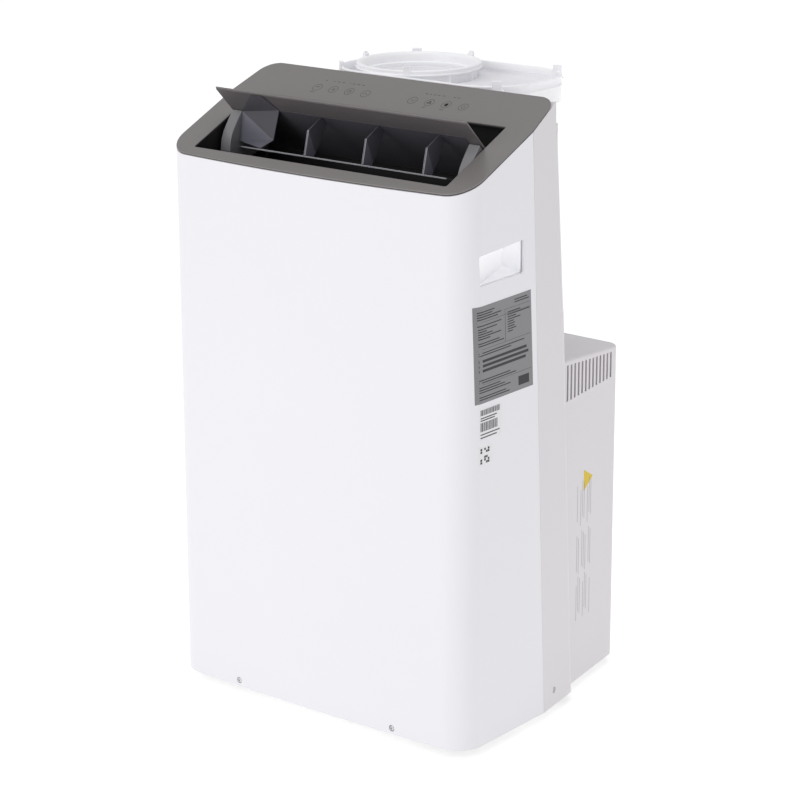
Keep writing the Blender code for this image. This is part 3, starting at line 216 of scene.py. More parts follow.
def make_looks():
    looks = {}
    white = (0.820, 0.812, 0.838)
    looks["casing"] = moulded("white_gloss", white, 0.34, coat=0.12)
    # darker, pinker copy of the casing white for the rear shell, rear box and riser: painted shade of the
    # sides that face away from the key light
    looks["casing_shaded"] = moulded("white_gloss_shaded", (0.715, 0.690, 0.712), 0.36)
    # lighter copy of the casing white for the grip pockets: painted light against the shade of their recess
    looks["pocket"] = moulded("pocket_white_painted_light", (0.94, 0.94, 0.955), 0.38)
    looks["cover"] = moulded("cover_white", (0.80, 0.79, 0.81), 0.36)
    looks["collar"] = moulded("collar_white", (0.945, 0.945, 0.965), 0.36, grain=900.0)
    # collar pieces and grip pockets glow a little though they are no lamps: painted light
    for glowing_look, painted_glow in (("collar", 0.05), ("pocket", 0.13)):
        shader = looks[glowing_look].node_tree.nodes["Principled BSDF"]
        shader.inputs["Subsurface Weight"].default_value = 0.25
        shader.inputs["Subsurface Radius"].default_value = (0.010, 0.010, 0.012)
        shader.inputs["Emission Color"].default_value = (0.94, 0.95, 1.0, 1.0)
        shader.inputs["Emission Strength"].default_value = painted_glow

    bezel = Look("bezel_grey", (0.208, 0.194, 0.191), 0.36, metal=0.25, coat=0.12)
    bezel.tint(bezel.noise(1600.0, 2.0), (0.240, 0.226, 0.222), 0.45, 0.75)
    bezel.gloss(bezel.noise(30.0, 4.0), 0.04)
    bezel.bump(bezel.noise(1800.0, 2.0), 0.000012)
    looks["bezel"] = bezel.mat
    # near-black look for the lip under the bezel plate: painted shadow of the gap under the bezel's edge
    looks["edge"] = moulded("painted_shadow_edge", (0.040, 0.036, 0.036), 0.34)
    looks["louvre"] = moulded("louvre_grey", (0.188, 0.175, 0.173), 0.38, mottle=0.94)
    # darker copy of the louvre grey for the flap's underside strip: painted shade under the flap
    looks["under"] = moulded("louvre_under_painted_shade", (0.110, 0.100, 0.102), 0.45, mottle=0.92)
    looks["smoke"] = moulded("louvre_charcoal", (0.085, 0.082, 0.096), 0.40, mottle=0.90)
    looks["liner"] = moulded("louvre_liner", (0.080, 0.076, 0.088), 0.42, mottle=0.90)
    # lighter bluish charcoal for the lower parts of the vanes and deflector: painted light where they stand
    # out of the flap's shadow
    looks["facet"] = moulded("louvre_facet", (0.150, 0.150, 0.185), 0.34, mottle=0.92)
    # light grey for the front edges of the blade and vanes: painted highlight where the edges catch the light
    looks["rim"] = moulded("louvre_painted_highlight", (0.600, 0.600, 0.640), 0.32, mottle=0.94)
    # lighter, bluer copy of the louvre grey for the cheeks: painted sheen for the reflection down their
    # curved fronts; the coat and low roughness are real gloss
    looks["cheek"] = moulded("louvre_cheek", (0.260, 0.258, 0.268), 0.24, mottle=0.94, coat=0.4)
    looks["duct"] = moulded("duct_black", (0.006, 0.006, 0.007), 0.55, mottle=0.85)
    looks["print"] = moulded("print_dark", (0.045, 0.042, 0.042), 0.50)
    looks["plate"] = moulded("plate_grey", (0.225, 0.225, 0.235), 0.42, grain=600.0)
    looks["paper"] = moulded("sticker_white", (0.80, 0.80, 0.81), 0.55, grain=600.0)
    looks["ink"] = moulded("sticker_ink", (0.03, 0.03, 0.035), 0.6)
    looks["ink_pale"] = moulded("sticker_ink_pale", (0.42, 0.41, 0.42), 0.6)
    looks["yellow"] = moulded("sticker_yellow", (0.72, 0.52, 0.02), 0.5)
    looks["nylon"] = moulded("nylon_black", (0.026, 0.026, 0.028), 0.45, grain=700.0)
    looks["rubber"] = moulded("tread_grey", (0.075, 0.075, 0.078), 0.72, grain=500.0, depth=0.00008)
    looks["pan"] = moulded("pan_white", (0.70, 0.70, 0.69), 0.55)
    enamel = (0.016, 0.016, 0.018)
    looks["enamel"] = moulded("black_enamel", enamel, 0.26, grain=300.0, depth=0.00006, coat=0.3)
    looks["steel"] = metal_sheet("zinc_steel", (0.60, 0.60, 0.59), 0.34, (1.0, 1.0, 14.0))
    looks["screw"] = metal_sheet("screw_steel", (0.66, 0.66, 0.66), 0.28, (6.0, 1.0, 1.0))
    looks["copper"] = metal_sheet("copper", (0.70, 0.34, 0.19), 0.30, (1.0, 8.0, 1.0), 0.62)

    coil = Look("fin_aluminium", (0.76, 0.77, 0.79), 0.36, metal=1.0)
    coil.tint(coil.noise(25.0, 5.0), (0.62, 0.64, 0.67))
    coil.gloss(coil.noise(180.0, 4.0, (1.0, 1.0, 0.15)), 0.10)
    coil.bump(coil.bands(260.0, "Z"), 0.00010)
    looks["coil"] = coil.mat

    mesh = Look("filter_mesh", (0.085, 0.090, 0.098), 0.75)
    mesh.tint(mesh.noise(40.0, 4.0), (0.060, 0.064, 0.070))
    mesh.bump(mesh.bands(250.0, "X"), 0.0003)
    mesh.bump(mesh.bands(250.0, "Z"), 0.0003)
    looks["filter"] = mesh.mat

    board = Look("board_green", (0.020, 0.110, 0.048), 0.42)
    board.tint(board.noise(150.0, 2.0), (0.012, 0.075, 0.034), 0.48, 0.52)
    board.bump(board.noise(300.0, 1.0), 0.00008)
    looks["board"] = board.mat

    floor = Look("studio_floor", (0.92, 0.92, 0.92), 0.65)
    floor.tint(floor.noise(2.0, 3.0), (0.905, 0.905, 0.91))
    floor.shader.inputs["Emission Color"].default_value = (1.0, 1.0, 1.0, 1.0)
    floor.shader.inputs["Emission Strength"].default_value = 0.48
    looks["floor"] = floor.mat
    return looks


LOOKS = make_looks()

# ---------------------------------------------------------------- building blocks


def make(name, bm, look, body="root", nodes=(), sharp=32.0):
    """Turn a bmesh drawn in the datum into a piece that rides on a body."""
    bmesh.ops.recalc_face_normals(bm, faces=bm.faces)
    bmesh.ops.translate(bm, verts=bm.verts, vec=DATUM)
    mesh = bpy.data.meshes.new(name)
    bm.to_mesh(mesh)
    bm.free()
    mesh.shade_smooth()
    mesh.set_sharp_from_angle(angle=math.radians(sharp))
    obj = bpy.data.objects.new(name, mesh)
    mesh.materials.append(LOOKS[look])
    bpy.context.scene.collection.objects.link(obj)
    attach(obj, body)
    if nodes:
        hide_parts(*nodes)
    return obj


def cut(obj, tool_bm, operation="DIFFERENCE"):
    """Apply one exact Boolean with a tool drawn in the datum."""
    bmesh.ops.recalc_face_normals(tool_bm, faces=tool_bm.faces)
    bmesh.ops.translate(tool_bm, verts=tool_bm.verts, vec=DATUM)
    mesh = bpy.data.meshes.new("tool")
    tool_bm.to_mesh(mesh)
    tool_bm.free()
    tool = bpy.data.objects.new("tool", mesh)
    bpy.context.scene.collection.objects.link(tool)
    mod = obj.modifiers.new("cut", "BOOLEAN")
    mod.operation = operation
    mod.object = tool
    mod.solver = "EXACT"
    bpy.context.view_layer.update()
    graph = bpy.context.evaluated_depsgraph_get()
    done = bpy.data.meshes.new_from_object(obj.evaluated_get(graph))
    obj.modifiers.clear()
    old = obj.data
    obj.data = done
    bpy.data.meshes.remove(old)
    bpy.data.objects.remove(tool, do_unlink=True)
    bpy.data.meshes.remove(mesh)
    obj.data.shade_smooth()
    obj.data.set_sharp_from_angle(angle=math.radians(32.0))


def soften(obj, width, segments=2, angle=35.0):
    """Round the piece's edges."""
    mod = obj.modifiers.new("soft_edges", "BEVEL")
    mod.width = width
    mod.segments = segments
    mod.limit_method = "ANGLE"
    mod.angle_limit = math.radians(angle)
    mod.harden_normals = True
    return obj


def arc(cx, cy, radius, start, stop, steps):
    points = []
    for i in range(steps + 1):
        angle = math.radians(start + (stop - start) * i / steps)
        points.append((cx + radius * math.cos(angle), cy + radius * math.sin(angle)))
    return points


def mirrored(half):
    left = [(-x, *rest) for x, *rest in reversed(half)]
    if abs(half[-1][0]) < 1e-6:
        left = left[1:]
    return list(half) + left


def rings_body(rings, bm=None):
    """Skin a stack of equal-length closed rings of 3-D points and cap both ends."""
    bm = bm or bmesh.new()
    rows = [[bm.verts.new(point) for point in ring] for ring in rings]
    count = len(rows[0])
    for low, high in zip(rows, rows[1:]):
        for i in range(count):
            j = (i + 1) % count
            bm.faces.new((low[i], low[j], high[j], high[i]))
    bm.faces.new(rows[0])
    bm.faces.new(rows[-1])
    return bm


def prism(outline, low, high, bm=None):
    at = [level if callable(level) else (lambda x, y, v=level: v) for level in (low, high)]
    return rings_body([[(x, y, f(x, y)) for x, y in outline] for f in at], bm)


def prism_x(outline, x0, x1, bm=None):
    return rings_body([[(x, y, z) for y, z in outline] for x in (x0, x1)], bm)


def prism_y(outline, y0, y1, bm=None):
    return rings_body([[(x, y, z) for x, z in outline] for y in (y0, y1)], bm)


def block(low, high, bm=None):
    (x0, y0, z0), (x1, y1, z1) = low, high
    return prism([(x0, y0), (x1, y0), (x1, y1), (x0, y1)], z0, z1, bm)


def shell(outer, inner):
    """Open wall between two equal stacks of open rings: skins, rims and both ends."""
    bm = bmesh.new()
    out = [[bm.verts.new(point) for point in ring] for ring in outer]
    ins = [[bm.verts.new(point) for point in ring] for ring in inner]
    count = len(out[0])
    for k in range(len(out) - 1):
        for i in range(count - 1):
            bm.faces.new((out[k][i], out[k][i + 1], out[k + 1][i + 1], out[k + 1][i]))
            bm.faces.new((ins[k][i], ins[k + 1][i], ins[k + 1][i + 1], ins[k][i + 1]))
        for i in (0, count - 1):
            bm.faces.new((out[k][i], out[k + 1][i], ins[k + 1][i], ins[k][i]))
    for k in (0, len(out) - 1):
        for i in range(count - 1):
            bm.faces.new((out[k][i], out[k][i + 1], ins[k][i + 1], ins[k][i]))
    return bm


BASES = {"Z": Matrix.Identity(3), "Y": Matrix(((1, 0, 0), (0, 0, 1), (0, 1, 0))),
         "X": Matrix(((0, 0, 1), (1, 0, 0), (0, 1, 0)))}


def turned(profile, steps, axis="Z", at=(0.0, 0.0, 0.0), bm=None):
    """Spin a profile of (radius, height) points; ends on the axis close to a point."""
    bm = bm or bmesh.new()
    rows = []
    for radius, height in profile:
        ring = []
        for i in range(steps if radius > 0 else 1):
            angle = 2 * math.pi * i / steps
            local = Vector((radius * math.cos(angle), radius * math.sin(angle), height))
            ring.append(bm.verts.new(BASES[axis] @ local + Vector(at)))
        rows.append(ring)
    pairs = list(zip(rows, rows[1:]))
    if profile[0][0] > 0 and profile[-1][0] > 0:
        pairs.append((rows[-1], rows[0]))
    for a, b in pairs:
        for i in range(steps):
            j = (i + 1) % steps
            if len(a) == 1:
                bm.faces.new((a[0], b[i], b[j]))
            elif len(b) == 1:
                bm.faces.new((a[i], a[j], b[0]))
            else:
                bm.faces.new((a[i], a[j], b[j], b[i]))
    return bm


def rod(radius, start, stop, steps, axis="Z", at=(0.0, 0.0, 0.0), bm=None):
    return turned([(0.0, start), (radius, start), (radius, stop), (0.0, stop)], steps, axis, at, bm)


def swept(plan, section):
    """Closed sweep: each section point is (inset, height), and plan(inset) gives the ring."""
    bm = bmesh.new()
    rows = [[bm.verts.new((x, y, z)) for x, y in plan(inset)] for inset, z in section]
    count = len(rows[0])
    for a, b in zip(rows, rows[1:] + rows[:1]):
        for i in range(count):
            j = (i + 1) % count
            bm.faces.new((a[i], a[j], b[j], b[i]))
    return bm


def bead(inset, level, radius, start, stop, steps=6):
    """Rounded part of a swept section, as (inset, height) points."""
    return [(inset - radius * math.cos(math.radians(a)), level + radius * math.sin(math.radians(a)))
            for a in [start + (stop - start) * i / steps for i in range(steps + 1)]]


# ---------------------------------------------------------------- casing geometry


def panel_z(y, drop=0.0):
    return PANEL_Z + PANEL_SLOPE * y - drop


def seam_y(z):
    return SEAM_Y - SEAM_LEAN * z


def seam_top_y(drop):
    return (SEAM_Y - SEAM_LEAN * (PANEL_Z - drop)) / (1 + SEAM_LEAN * PANEL_SLOPE)


def side_x(y, z, inset=0.0):
    return HALF_WIDTH - inset - SIDE_TAPER * max(0.0, y - seam_y(z))


def rear_y(z):
    knots = [(0.0, 0.275), (0.506, 0.2455), (0.745, 0.2245), (0.80, 0.2235)]
    for (z0, y0), (z1, y1) in zip(knots, knots[1:]):
        if z <= z1:
            return y0 + (y1 - y0) * (z - z0) / (z1 - z0)
    return knots[-1][1]


FACE_RADIUS = (HALF_WIDTH ** 2 + FRONT_BOW ** 2) / (2 * FRONT_BOW)
CORNER_X = HALF_WIDTH - FRONT_RADIUS
CORNER_Y = FACE_RADIUS - math.sqrt((FACE_RADIUS - FRONT_RADIUS) ** 2 - CORNER_X ** 2)


def front_half(inset, steps=28):
    """Right half of the front plan: from the corner's side tangent to the middle of the face."""
    swing = math.degrees(math.atan2(CORNER_X, FACE_RADIUS - CORNER_Y))
    corner = arc(CORNER_X, CORNER_Y, FRONT_RADIUS - inset, 0.0, swing - 90.0, steps)
    face = arc(0.0, FACE_RADIUS, FACE_RADIUS - inset, swing - 90.0, -90.0, 14)
    return corner + face[1:]


TILT = math.degrees(math.atan(SIDE_TAPER))


def rear_corner(z, inset, steps=16):
    """Rear right corner, from its side tangent to its rear tangent."""
    cy = rear_y(z) - REAR_RADIUS
    ty = cy + REAR_RADIUS * math.sin(math.radians(TILT))
    cx = side_x(ty, z) - REAR_RADIUS * math.cos(math.radians(TILT))
    return arc(cx, cy, REAR_RADIUS - inset, TILT, 90.0, steps)


def box_half(inset, steps=16):
    """Right half of the condenser housing's plan, from its rear corner to the middle."""
    cy = BOX_BACK - BOX_BOW - BOX_RADIUS
    ty = cy + BOX_RADIUS * math.sin(math.radians(TILT))
    cx = BOX_SIDE - SIDE_TAPER * (ty - BOX_SIDE_Y) - BOX_RADIUS * math.cos(math.radians(TILT))
    corner = arc(cx, cy, BOX_RADIUS - inset, TILT, 84.0, steps)
    x_end, y_end = corner[-1]
    rise = BOX_BACK - inset - y_end
    face = []
    for i in range(1, 9):
        t = i / 8
        face.append((x_end * (1 - t), y_end + rise * (1 - (1 - t) ** 2)))
    return corner + face


def box_side_x(y, inset=0.0):
    return BOX_SIDE - inset - SIDE_TAPER * (y - BOX_SIDE_Y)


def box_top(y, drop=0.0):
    return BOX_TOP - BOX_FALL * (y - BOX_FRONT) - drop


def handle_outline(radius=0.0030, steps=5):
    """Grip opening as (y, z), with small round corners."""
    return rounded_corners(HANDLE, radius, steps)


def rounded_corners(corners, radius, steps):
    """Replace each corner of a convex polygon with a smooth quadratic bend."""
    points = []
    for i, corner in enumerate(corners):
        at = Vector(corner)
        before = at + (Vector(corners[i - 1]) - at).normalized() * radius
        after = at + (Vector(corners[(i + 1) % len(corners)]) - at).normalized() * radius
        for k in range(steps + 1):
            t = k / steps
            points.append(tuple(before * (1 - t) ** 2 + at * 2 * t * (1 - t) + after * t ** 2))
    return points


def casing():
    drop = PANEL_THICK + GAP
    top_y = seam_top_y(drop)

    def front_ring(inset, end_y, level):
        half = [(HALF_WIDTH - inset, end_y)] + front_half(inset)
        return [(x, y, level(y)) for x, y in mirrored(half)]

    stacks = []
    for inset in (0.0, WALL):
        stacks.append([front_ring(inset, SEAM_Y, lambda y: 0.0),
                       front_ring(inset, top_y, lambda y: panel_z(y, drop))])
    front = make("front_shell", shell(*stacks), "casing", nodes=["front_casing"])
    for side in (-1, 1):
        cut(front, prism_x(handle_outline(), side * 0.20, side * 0.26))
    for x in (-SCREW_X, SCREW_X):
        cut(front, rod(SCREW_HOLE, -0.01, 0.02, 32, "Y", (x, 0.0, SCREW_Z)))
    soften(front, 0.0007)

    levels = [0.0, 0.25, 0.506, 0.54, 0.60, 0.66, 0.70, 0.745]

    def rear_half(z, inset):
        seam = seam_y(z) + GAP
        corner = rear_corner(z, inset)
        step = (corner[0][0] - SIDE_TAPER * GAP, corner[0][1] + GAP)
        return [(side_x(seam, z, inset), seam), corner[0], step] + corner[1:]

    stacks = []
    for inset in (0.0, WALL):
        rings = [[(x, y, z) for x, y in mirrored(rear_half(z, inset))] for z in levels]
        plan = rear_half(panel_z(0.17, drop), inset)
        plan[0] = (HALF_WIDTH - inset, seam_top_y(drop) + GAP)
        rim = []
        for i, (x, y) in enumerate(plan):
            rim.append((x, y, panel_z(y, drop) if i < 2 else COLLAR_LOW - GAP))
        rings.append(mirrored(rim))
        stacks.append(rings)
    # the rear shell takes the darker copy of the casing white: painted shade
    rear = make("rear_shell", shell(*stacks), "casing_shaded", nodes=["rear_casing"])
    cut(rear, block((-WINDOW_HALF, 0.20, -0.02), (WINDOW_HALF, 0.30, WINDOW_TOP)))
    for side in (-1, 1):
        cut(rear, cover_region(side, 0.0))
        y, z = SIDE_SCREW
        x0, x1 = sorted((side * 0.22, side * 0.26))
        cut(rear, rod(SCREW_HOLE, x0, x1, 32, "X", (0, y, z)))
    shelf, deck = casing_ledges()
    cut(rear, shelf, "UNION")
    cut(rear, deck, "UNION")
    soften(rear, 0.0006)


def casing_ledges():
    """Stepped shelf that carries the bezel's rear edge, and the deck behind it under the collar."""
    drop = PANEL_THICK + 2 * GAP
    foot = COLLAR_LOW - GAP - 0.0020
    step = SHELF_BACK - SHELF_THICK
    profile = [(SHELF_FRONT, panel_z(SHELF_FRONT, drop)), (SHELF_BACK, panel_z(SHELF_BACK, drop)),
               (SHELF_BACK, foot), (step, foot), (step, panel_z(step, drop + SHELF_THICK)),
               (SHELF_FRONT, panel_z(SHELF_FRONT, drop + SHELF_THICK))]
    ends = []
    for side in (-1, 1):
        ends.append([(side * side_x(y, foot, WALL / 2), y, z) for y, z in profile])
    front = step - 0.0010
    half = [(side_x(front, foot, WALL / 2), front)] + rear_corner(foot, WALL / 2)
    top = COLLAR_LOW - GAP - 0.0010
    return rings_body(ends), prism(mirrored(half), top - SHELF_THICK, top)


def cover_region(side, shrink):
    """Sheared block that takes in a rear corner of the casing between two heights."""
    rings = []
    for z in (COVER_LOW + shrink, COVER_HIGH - shrink):
        start = rear_corner(z, 0.0)[0][1] + 0.001 + shrink
        x0, x1 = side * (COVER_IN + shrink), side * 0.27
        rings.append([(x0, start, z), (x1, start, z), (x1, 0.30, z), (x0, 0.30, z)])
    return rings_body(rings)


def filter_cover(side):
    """Frame with fine slats that carry on the line of the casing round its rear corner."""
    tag = "right" if side > 0 else "left"
    body = f"cover_{tag}"
    edge = 0.0045

    def wrap(z, inset, x_end):
        ring = rear_corner(z, inset)
        return [(side * x, y, z) for x, y in ring + [(x_end, ring[-1][1])]]

    stacks = []
    for inset in (0.0, WALL):
        stacks.append([wrap(z, inset, COVER_IN - 0.01)
                       for z in (COVER_LOW - 0.01, 0.60, 0.67, 0.745, COVER_HIGH + 0.01)])
    obj = make(f"cover_frame_{tag}", shell(*stacks), "cover", body, [f"filter_cover_{tag}"])
    cut(obj, cover_region(side, GAP), "INTERSECT")
    hole = []
    for z in (COVER_LOW + edge, COVER_HIGH - edge):
        start = rear_corner(z, 0.0)[0][1] + 0.001 + edge
        x0, x1 = side * (COVER_IN + edge), side * 0.28
        hole.append([(x0, start, z), (x1, start, z), (x1, 0.31, z), (x0, 0.31, z)])
    cut(obj, rings_body(hole))
    soften(obj, 0.0004)

    slats = bmesh.new()
    count = int((COVER_HIGH - COVER_LOW - 2 * edge) / SLAT_PITCH)
    for i in range(count):
        z = COVER_LOW + edge + SLAT_PITCH * (i + 0.5)
        section = [(0.0003, z - 0.0009), (0.0003, z + 0.0009), (0.0026, z + 0.0006), (0.0026, z - 0.0006)]
        rings = [wrap(level, inset, COVER_IN + 0.001)[1:] for inset, level in section]
        rows = [[slats.verts.new(point) for point in ring] for ring in rings]
        for a, b in zip(rows, rows[1:] + rows[:1]):
            for k in range(len(a) - 1):
                slats.faces.new((a[k], a[k + 1], b[k + 1], b[k]))
        slats.faces.new([row[0] for row in rows])
        slats.faces.new([row[-1] for row in rows])
    make(f"cover_slats_{tag}", slats, "cover", body)
    backing = bmesh.new()
    for k in range(4):
        x = side * (COVER_IN + 0.012 + 0.014 * k)
        rings = []
        for z in (COVER_LOW + 0.002, 0.745, COVER_HIGH - 0.002):
            y = rear_y(z) - 0.0032
            rings.append([(x - 0.0009, y, z), (x + 0.0009, y, z),
                          (x + 0.0009, y + 0.0012, z), (x - 0.0009, y + 0.0012, z)])
        rings_body(rings, backing)
    make(f"cover_bars_{tag}", backing, "cover", body)


def condenser_housing():
    def ring(inset, front, level):
        half = [(box_side_x(front, inset), front)] + box_half(inset)
        return [(x, y, level(y)) for x, y in mirrored(half)]

    round_top = 0.0040
    outer = [ring(0.0, rear_y(0.0) + GAP, lambda y: 0.0)]
    for i in range(7):
        angle = math.radians(90.0 * i / 6)
        inset = round_top * (1 - math.cos(angle))
        drop = round_top * (1 - math.sin(angle))
        outer.append(ring(inset, rear_y(BOX_TOP - drop) + GAP, lambda y, d=drop: box_top(y, d)))
    obj = make("rear_box", rings_body(outer), "casing_shaded", nodes=["condenser_housing"])
    inner = [ring(WALL, 0.15, lambda y: -0.02)]
    for drop, inset in ((0.0055, WALL), (WALL, 0.0065)):
        inner.append(ring(inset, 0.15, lambda y, d=drop: box_top(y, d)))
    cut(obj, rings_body(inner))
    slots = bmesh.new()
    for side in (-1, 1):
        for i in range(SLOT_COUNT):
            y = SLOT_Y + SLOT_PITCH * i
            top = SLOT_HIGH - BOX_FALL * (y - SLOT_Y)
            x0, x1 = sorted((side * 0.16, side * 0.25))
            corners = [(y - SLOT_HALF, SLOT_LOW), (y + SLOT_HALF, SLOT_LOW), (y + SLOT_HALF, top),
                       (y - SLOT_HALF, top)]
            prism_x(rounded_corners(corners, 0.0008, 3), x0, x1, slots)
    cut(obj, slots)
    cut(obj, prism(riser_plan(BOX_TOP, 0.0012), 0.43, 0.48))
    cut(obj, block((0.03, 0.275, 0.43), (0.09, 0.345, 0.48)))
    cut(obj, rod(0.0072, 0.39, 0.45, 32, "Y", (DRAIN_X, 0.0, DRAIN_Z)))
    cut(obj, rod(0.0105, 0.39, 0.45, 32, "Y", (GLAND_X, 0.0, GLAND_Z)))
    soften(obj, 0.0005)


def riser_housing():
    def ring(z, inset, level):
        front = rear_y(z) + GAP
        corner = arc(0.100 - 0.028, 0.372 - 0.028, 0.028 - inset, 17.0, 90.0, 14)
        half = [(0.140 - inset, front)] + corner + [(0.0, 0.372 - inset)]
        return [(x, y, level(y)) for x, y in mirrored(half)]

    stacks = []
    for inset in (0.0, WALL):
        rings = [ring(BOX_TOP, inset, lambda y: box_top(y, -GAP))]
        for z in (0.506, 0.745, COLLAR_LOW - GAP):
            rings.append(ring(z, inset, lambda y, v=z: v))
        stacks.append(rings)
    obj = make("riser_shell", shell(*stacks), "casing_shaded", nodes=["riser_housing"])
    soften(obj, 0.0006)


def riser_plan(z, grow, steps=64):
    """Exhaust riser section: an oval at the bottom that turns into a circle at the top."""
    t = (z - RISER_LOW) / (COLLAR_LOW - RISER_LOW)
    cx, cy = -0.048 + 0.003 * t, 0.302 - 0.0065 * t
    rx, ry = 0.058 + 0.002 * t + grow, 0.033 + 0.027 * t + grow
    points = []
    for i in range(steps):
        angle = 2 * math.pi * i / steps
        points.append((cx + rx * math.cos(angle), cy + ry * math.sin(angle)))
    return points


def exhaust_riser():
    low, high = RISER_LOW, COLLAR_LOW + 0.0005
    heights = [low + (high - low) * i / 24 for i in range(25)]
    section = [(0.0, z) for z in heights] + [(-0.002, z) for z in reversed(heights)]
    bm = bmesh.new()
    rows = [[bm.verts.new((x, y, z)) for x, y in riser_plan(z, grow)] for grow, z in section]
    for a, b in zip(rows, rows[1:] + rows[:1]):
        for i in range(64):
            j = (i + 1) % 64
            bm.faces.new((a[i], a[j], b[j], b[i]))
    make("exhaust_pipe", bm, "collar", nodes=["exhaust_riser"])


def handle_cup(side):
    """Wedge-shaped pocket behind the grip opening: shallow in front, deep where the fingers pull."""
    tag = "right" if side > 0 else "left"
    wall = HALF_WIDTH - WALL
    mouth = handle_outline()
    front, back = HANDLE[3][0], HANDLE[1][0]
    middle = sum(z for y, z in mouth) / len(mouth)

    def reach(y):
        return CUP_SHALLOW + (CUP_DEEP - CUP_SHALLOW) * (y - front) / (back - front)

    def ring(t, grow, skin=0.0):
        """Outline drawn in by t of the pocket's draft and moved out by grow, t of the way down."""
        points = []
        for y, z in mouth:
            along = (y - front) / (back - front)
            ahead = -0.0050 * t if along > 0.5 else 0.0020 * t
            rise = (0.0060 * along if z < middle else -0.0010) * t
            depth = CUP_SEAT + (reach(y) - CUP_SEAT) * t + skin
            out_y = grow if along > 0.5 else -grow
            out_z = -grow if z < middle else grow
            points.append((side * (wall - depth), y + ahead + out_y, z + rise + out_z))
        return points

    inside = [ring(0.0, 0.0020), ring(0.0, 0.0, 0.0006), ring(0.5, 0.0), ring(0.9, 0.0), ring(0.97, -0.0004),
              ring(1.0, -0.0014)]
    outside = [ring(1.0, 0.0008, 0.0018), ring(0.0, 0.0020, 0.0018)]
    bm = bmesh.new()
    rows = [[bm.verts.new(point) for point in points] for points in inside + outside]
    count = len(mouth)
    for k, row in enumerate(rows):
        if k != len(inside) - 1:
            after = rows[(k + 1) % len(rows)]
            for i in range(count):
                j = (i + 1) % count
                bm.faces.new((row[i], row[j], after[j], after[i]))
    bm.faces.new(rows[len(inside) - 1])
    bm.faces.new(rows[len(inside)])
    make(f"grip_pocket_{tag}", bm, "pocket", nodes=[f"handle_cup_{tag}"], sharp=28.0)


def screw(name, axis, direction, at, node):
    """Pan-head screw with a cross recess."""
    profile = [(0.0, 0.0), (0.0017, 0.0), (0.0018, 0.0004), (0.0018, 0.0055),
               (0.0036, 0.0055), (0.0037, 0.0060)]
    profile += [(0.0037 - 0.0018 * (1 - math.cos(math.radians(a))),
                 0.0062 + 0.0016 * math.sin(math.radians(a)))
                for a in range(0, 91, 15)]
    profile += [(0.0, 0.0079)]
    body = turned([(r, direction * h) for r, h in profile], 40, axis, at)
    obj = make(name, body, "screw", nodes=[node])
    arm, half = 0.0016, 0.0003
    for a, b in ((arm, half), (half, arm)):
        rings = []
        for grow, height in ((1.0, 0.0066), (1.25, 0.0084)):
            corners = ((-a, -b), (a, -b), (a, b), (-a, b))
            rings.append([BASES[axis] @ Vector((u * grow, v * grow, direction * height)) + Vector(at)
                          for u, v in corners])
        cut(obj, rings_body(rings))


def screws():
    for tag, x in (("left", -SCREW_X), ("right", SCREW_X)):
        screw(f"front_screw_{tag}", "Y", -1, (x, 0.0093, SCREW_Z), f"screw_front_{tag}")
    y, z = SIDE_SCREW
    for tag, side in (("left", -1), ("right", 1)):
        screw(f"side_screw_{tag}", "X", side, (side * 0.2315, y, z), f"screw_side_{tag}")


# ---------------------------------------------------------------- bezel, keys and plates


def rounded_rect(x0, x1, y0, y1, radii, steps=8):
    """Rectangle with its own radius at each corner: right-front, right-back, left-back, left-front."""
    rf, rb, lb, lf = radii
    points = arc(x1 - rf, y0 + rf, rf, -90, 0, steps)
    points += arc(x1 - rb, y1 - rb, rb, 0, 90, steps)
    points += arc(x0 + lb, y1 - lb, lb, 90, 180, steps)
    points += arc(x0 + lf, y0 + lf, lf, 180, 270, steps)
    return points


def bezel_plan(inset=0.0):
    """Bezel outline: the casing's plan, closed by a straight rear edge with round corners."""
    z = panel_z(0.17)
    half = [(HALF_WIDTH - inset, seam_y(z))] + front_half(inset)
    radius = 0.026
    cy = BEZEL_BACK - radius
    ty = cy + radius * math.sin(math.radians(TILT))
    cx = side_x(ty, z) - radius * math.cos(math.radians(TILT))
    return mirrored(arc(cx, cy, radius - inset, 90.0, TILT, 16) + half)


def bezel():
    hole = rounded_rect(-OPEN_HALF, OPEN_HALF, OPEN_FRONT, OPEN_BACK, (0.003, 0.002, 0.002, 0.003))
    skin = 0.0017
    plate = prism(bezel_plan(), lambda x, y: panel_z(y, skin), lambda x, y: panel_z(y))
    top = make("bezel_plate", plate, "bezel", nodes=["top_bezel"])
    cut(top, prism(hole, 0.60, 0.90))
    soften(top, 0.0005, 3)
    # the dark lip under the bezel plate is a painted shadow gap
    lip = prism(bezel_plan(0.0007), lambda x, y: panel_z(y, PANEL_THICK), lambda x, y: panel_z(y, skin))
    under = make("bezel_lip", lip, "edge")
    grown = rounded_rect(-OPEN_HALF - 0.0003, OPEN_HALF + 0.0003, OPEN_FRONT - 0.0003, OPEN_BACK + 0.0003,
                         (0.003, 0.002, 0.002, 0.003))
    cut(under, prism(grown, 0.60, 0.90))


def on_panel(x, y, lift=0.00008):
    return (x, y, panel_z(y) + lift)


def flat_shape(points, bm, lift=0.00008, base=-0.00005):
    """Thin printed shape on the sloped panel."""
    rings_body([[on_panel(x, y, h) for x, y in points] for h in (base, lift)], bm)


def ring_mark(cx, cy, radius, line, start, stop, bm, steps=40):
    outline = arc(cx, cy, radius, start, stop, steps) + arc(cx, cy, radius - line, stop, start, steps)
    flat_shape(outline, bm)


def bar_mark(cx, cy, length, width, turn, bm):
    c, s = math.cos(math.radians(turn)), math.sin(math.radians(turn))
    corners = [(-length, -width), (length, -width), (length, width), (-length, width)]
    flat_shape([(cx + (c * u - s * v) / 2, cy + (s * u + c * v) / 2) for u, v in corners], bm)


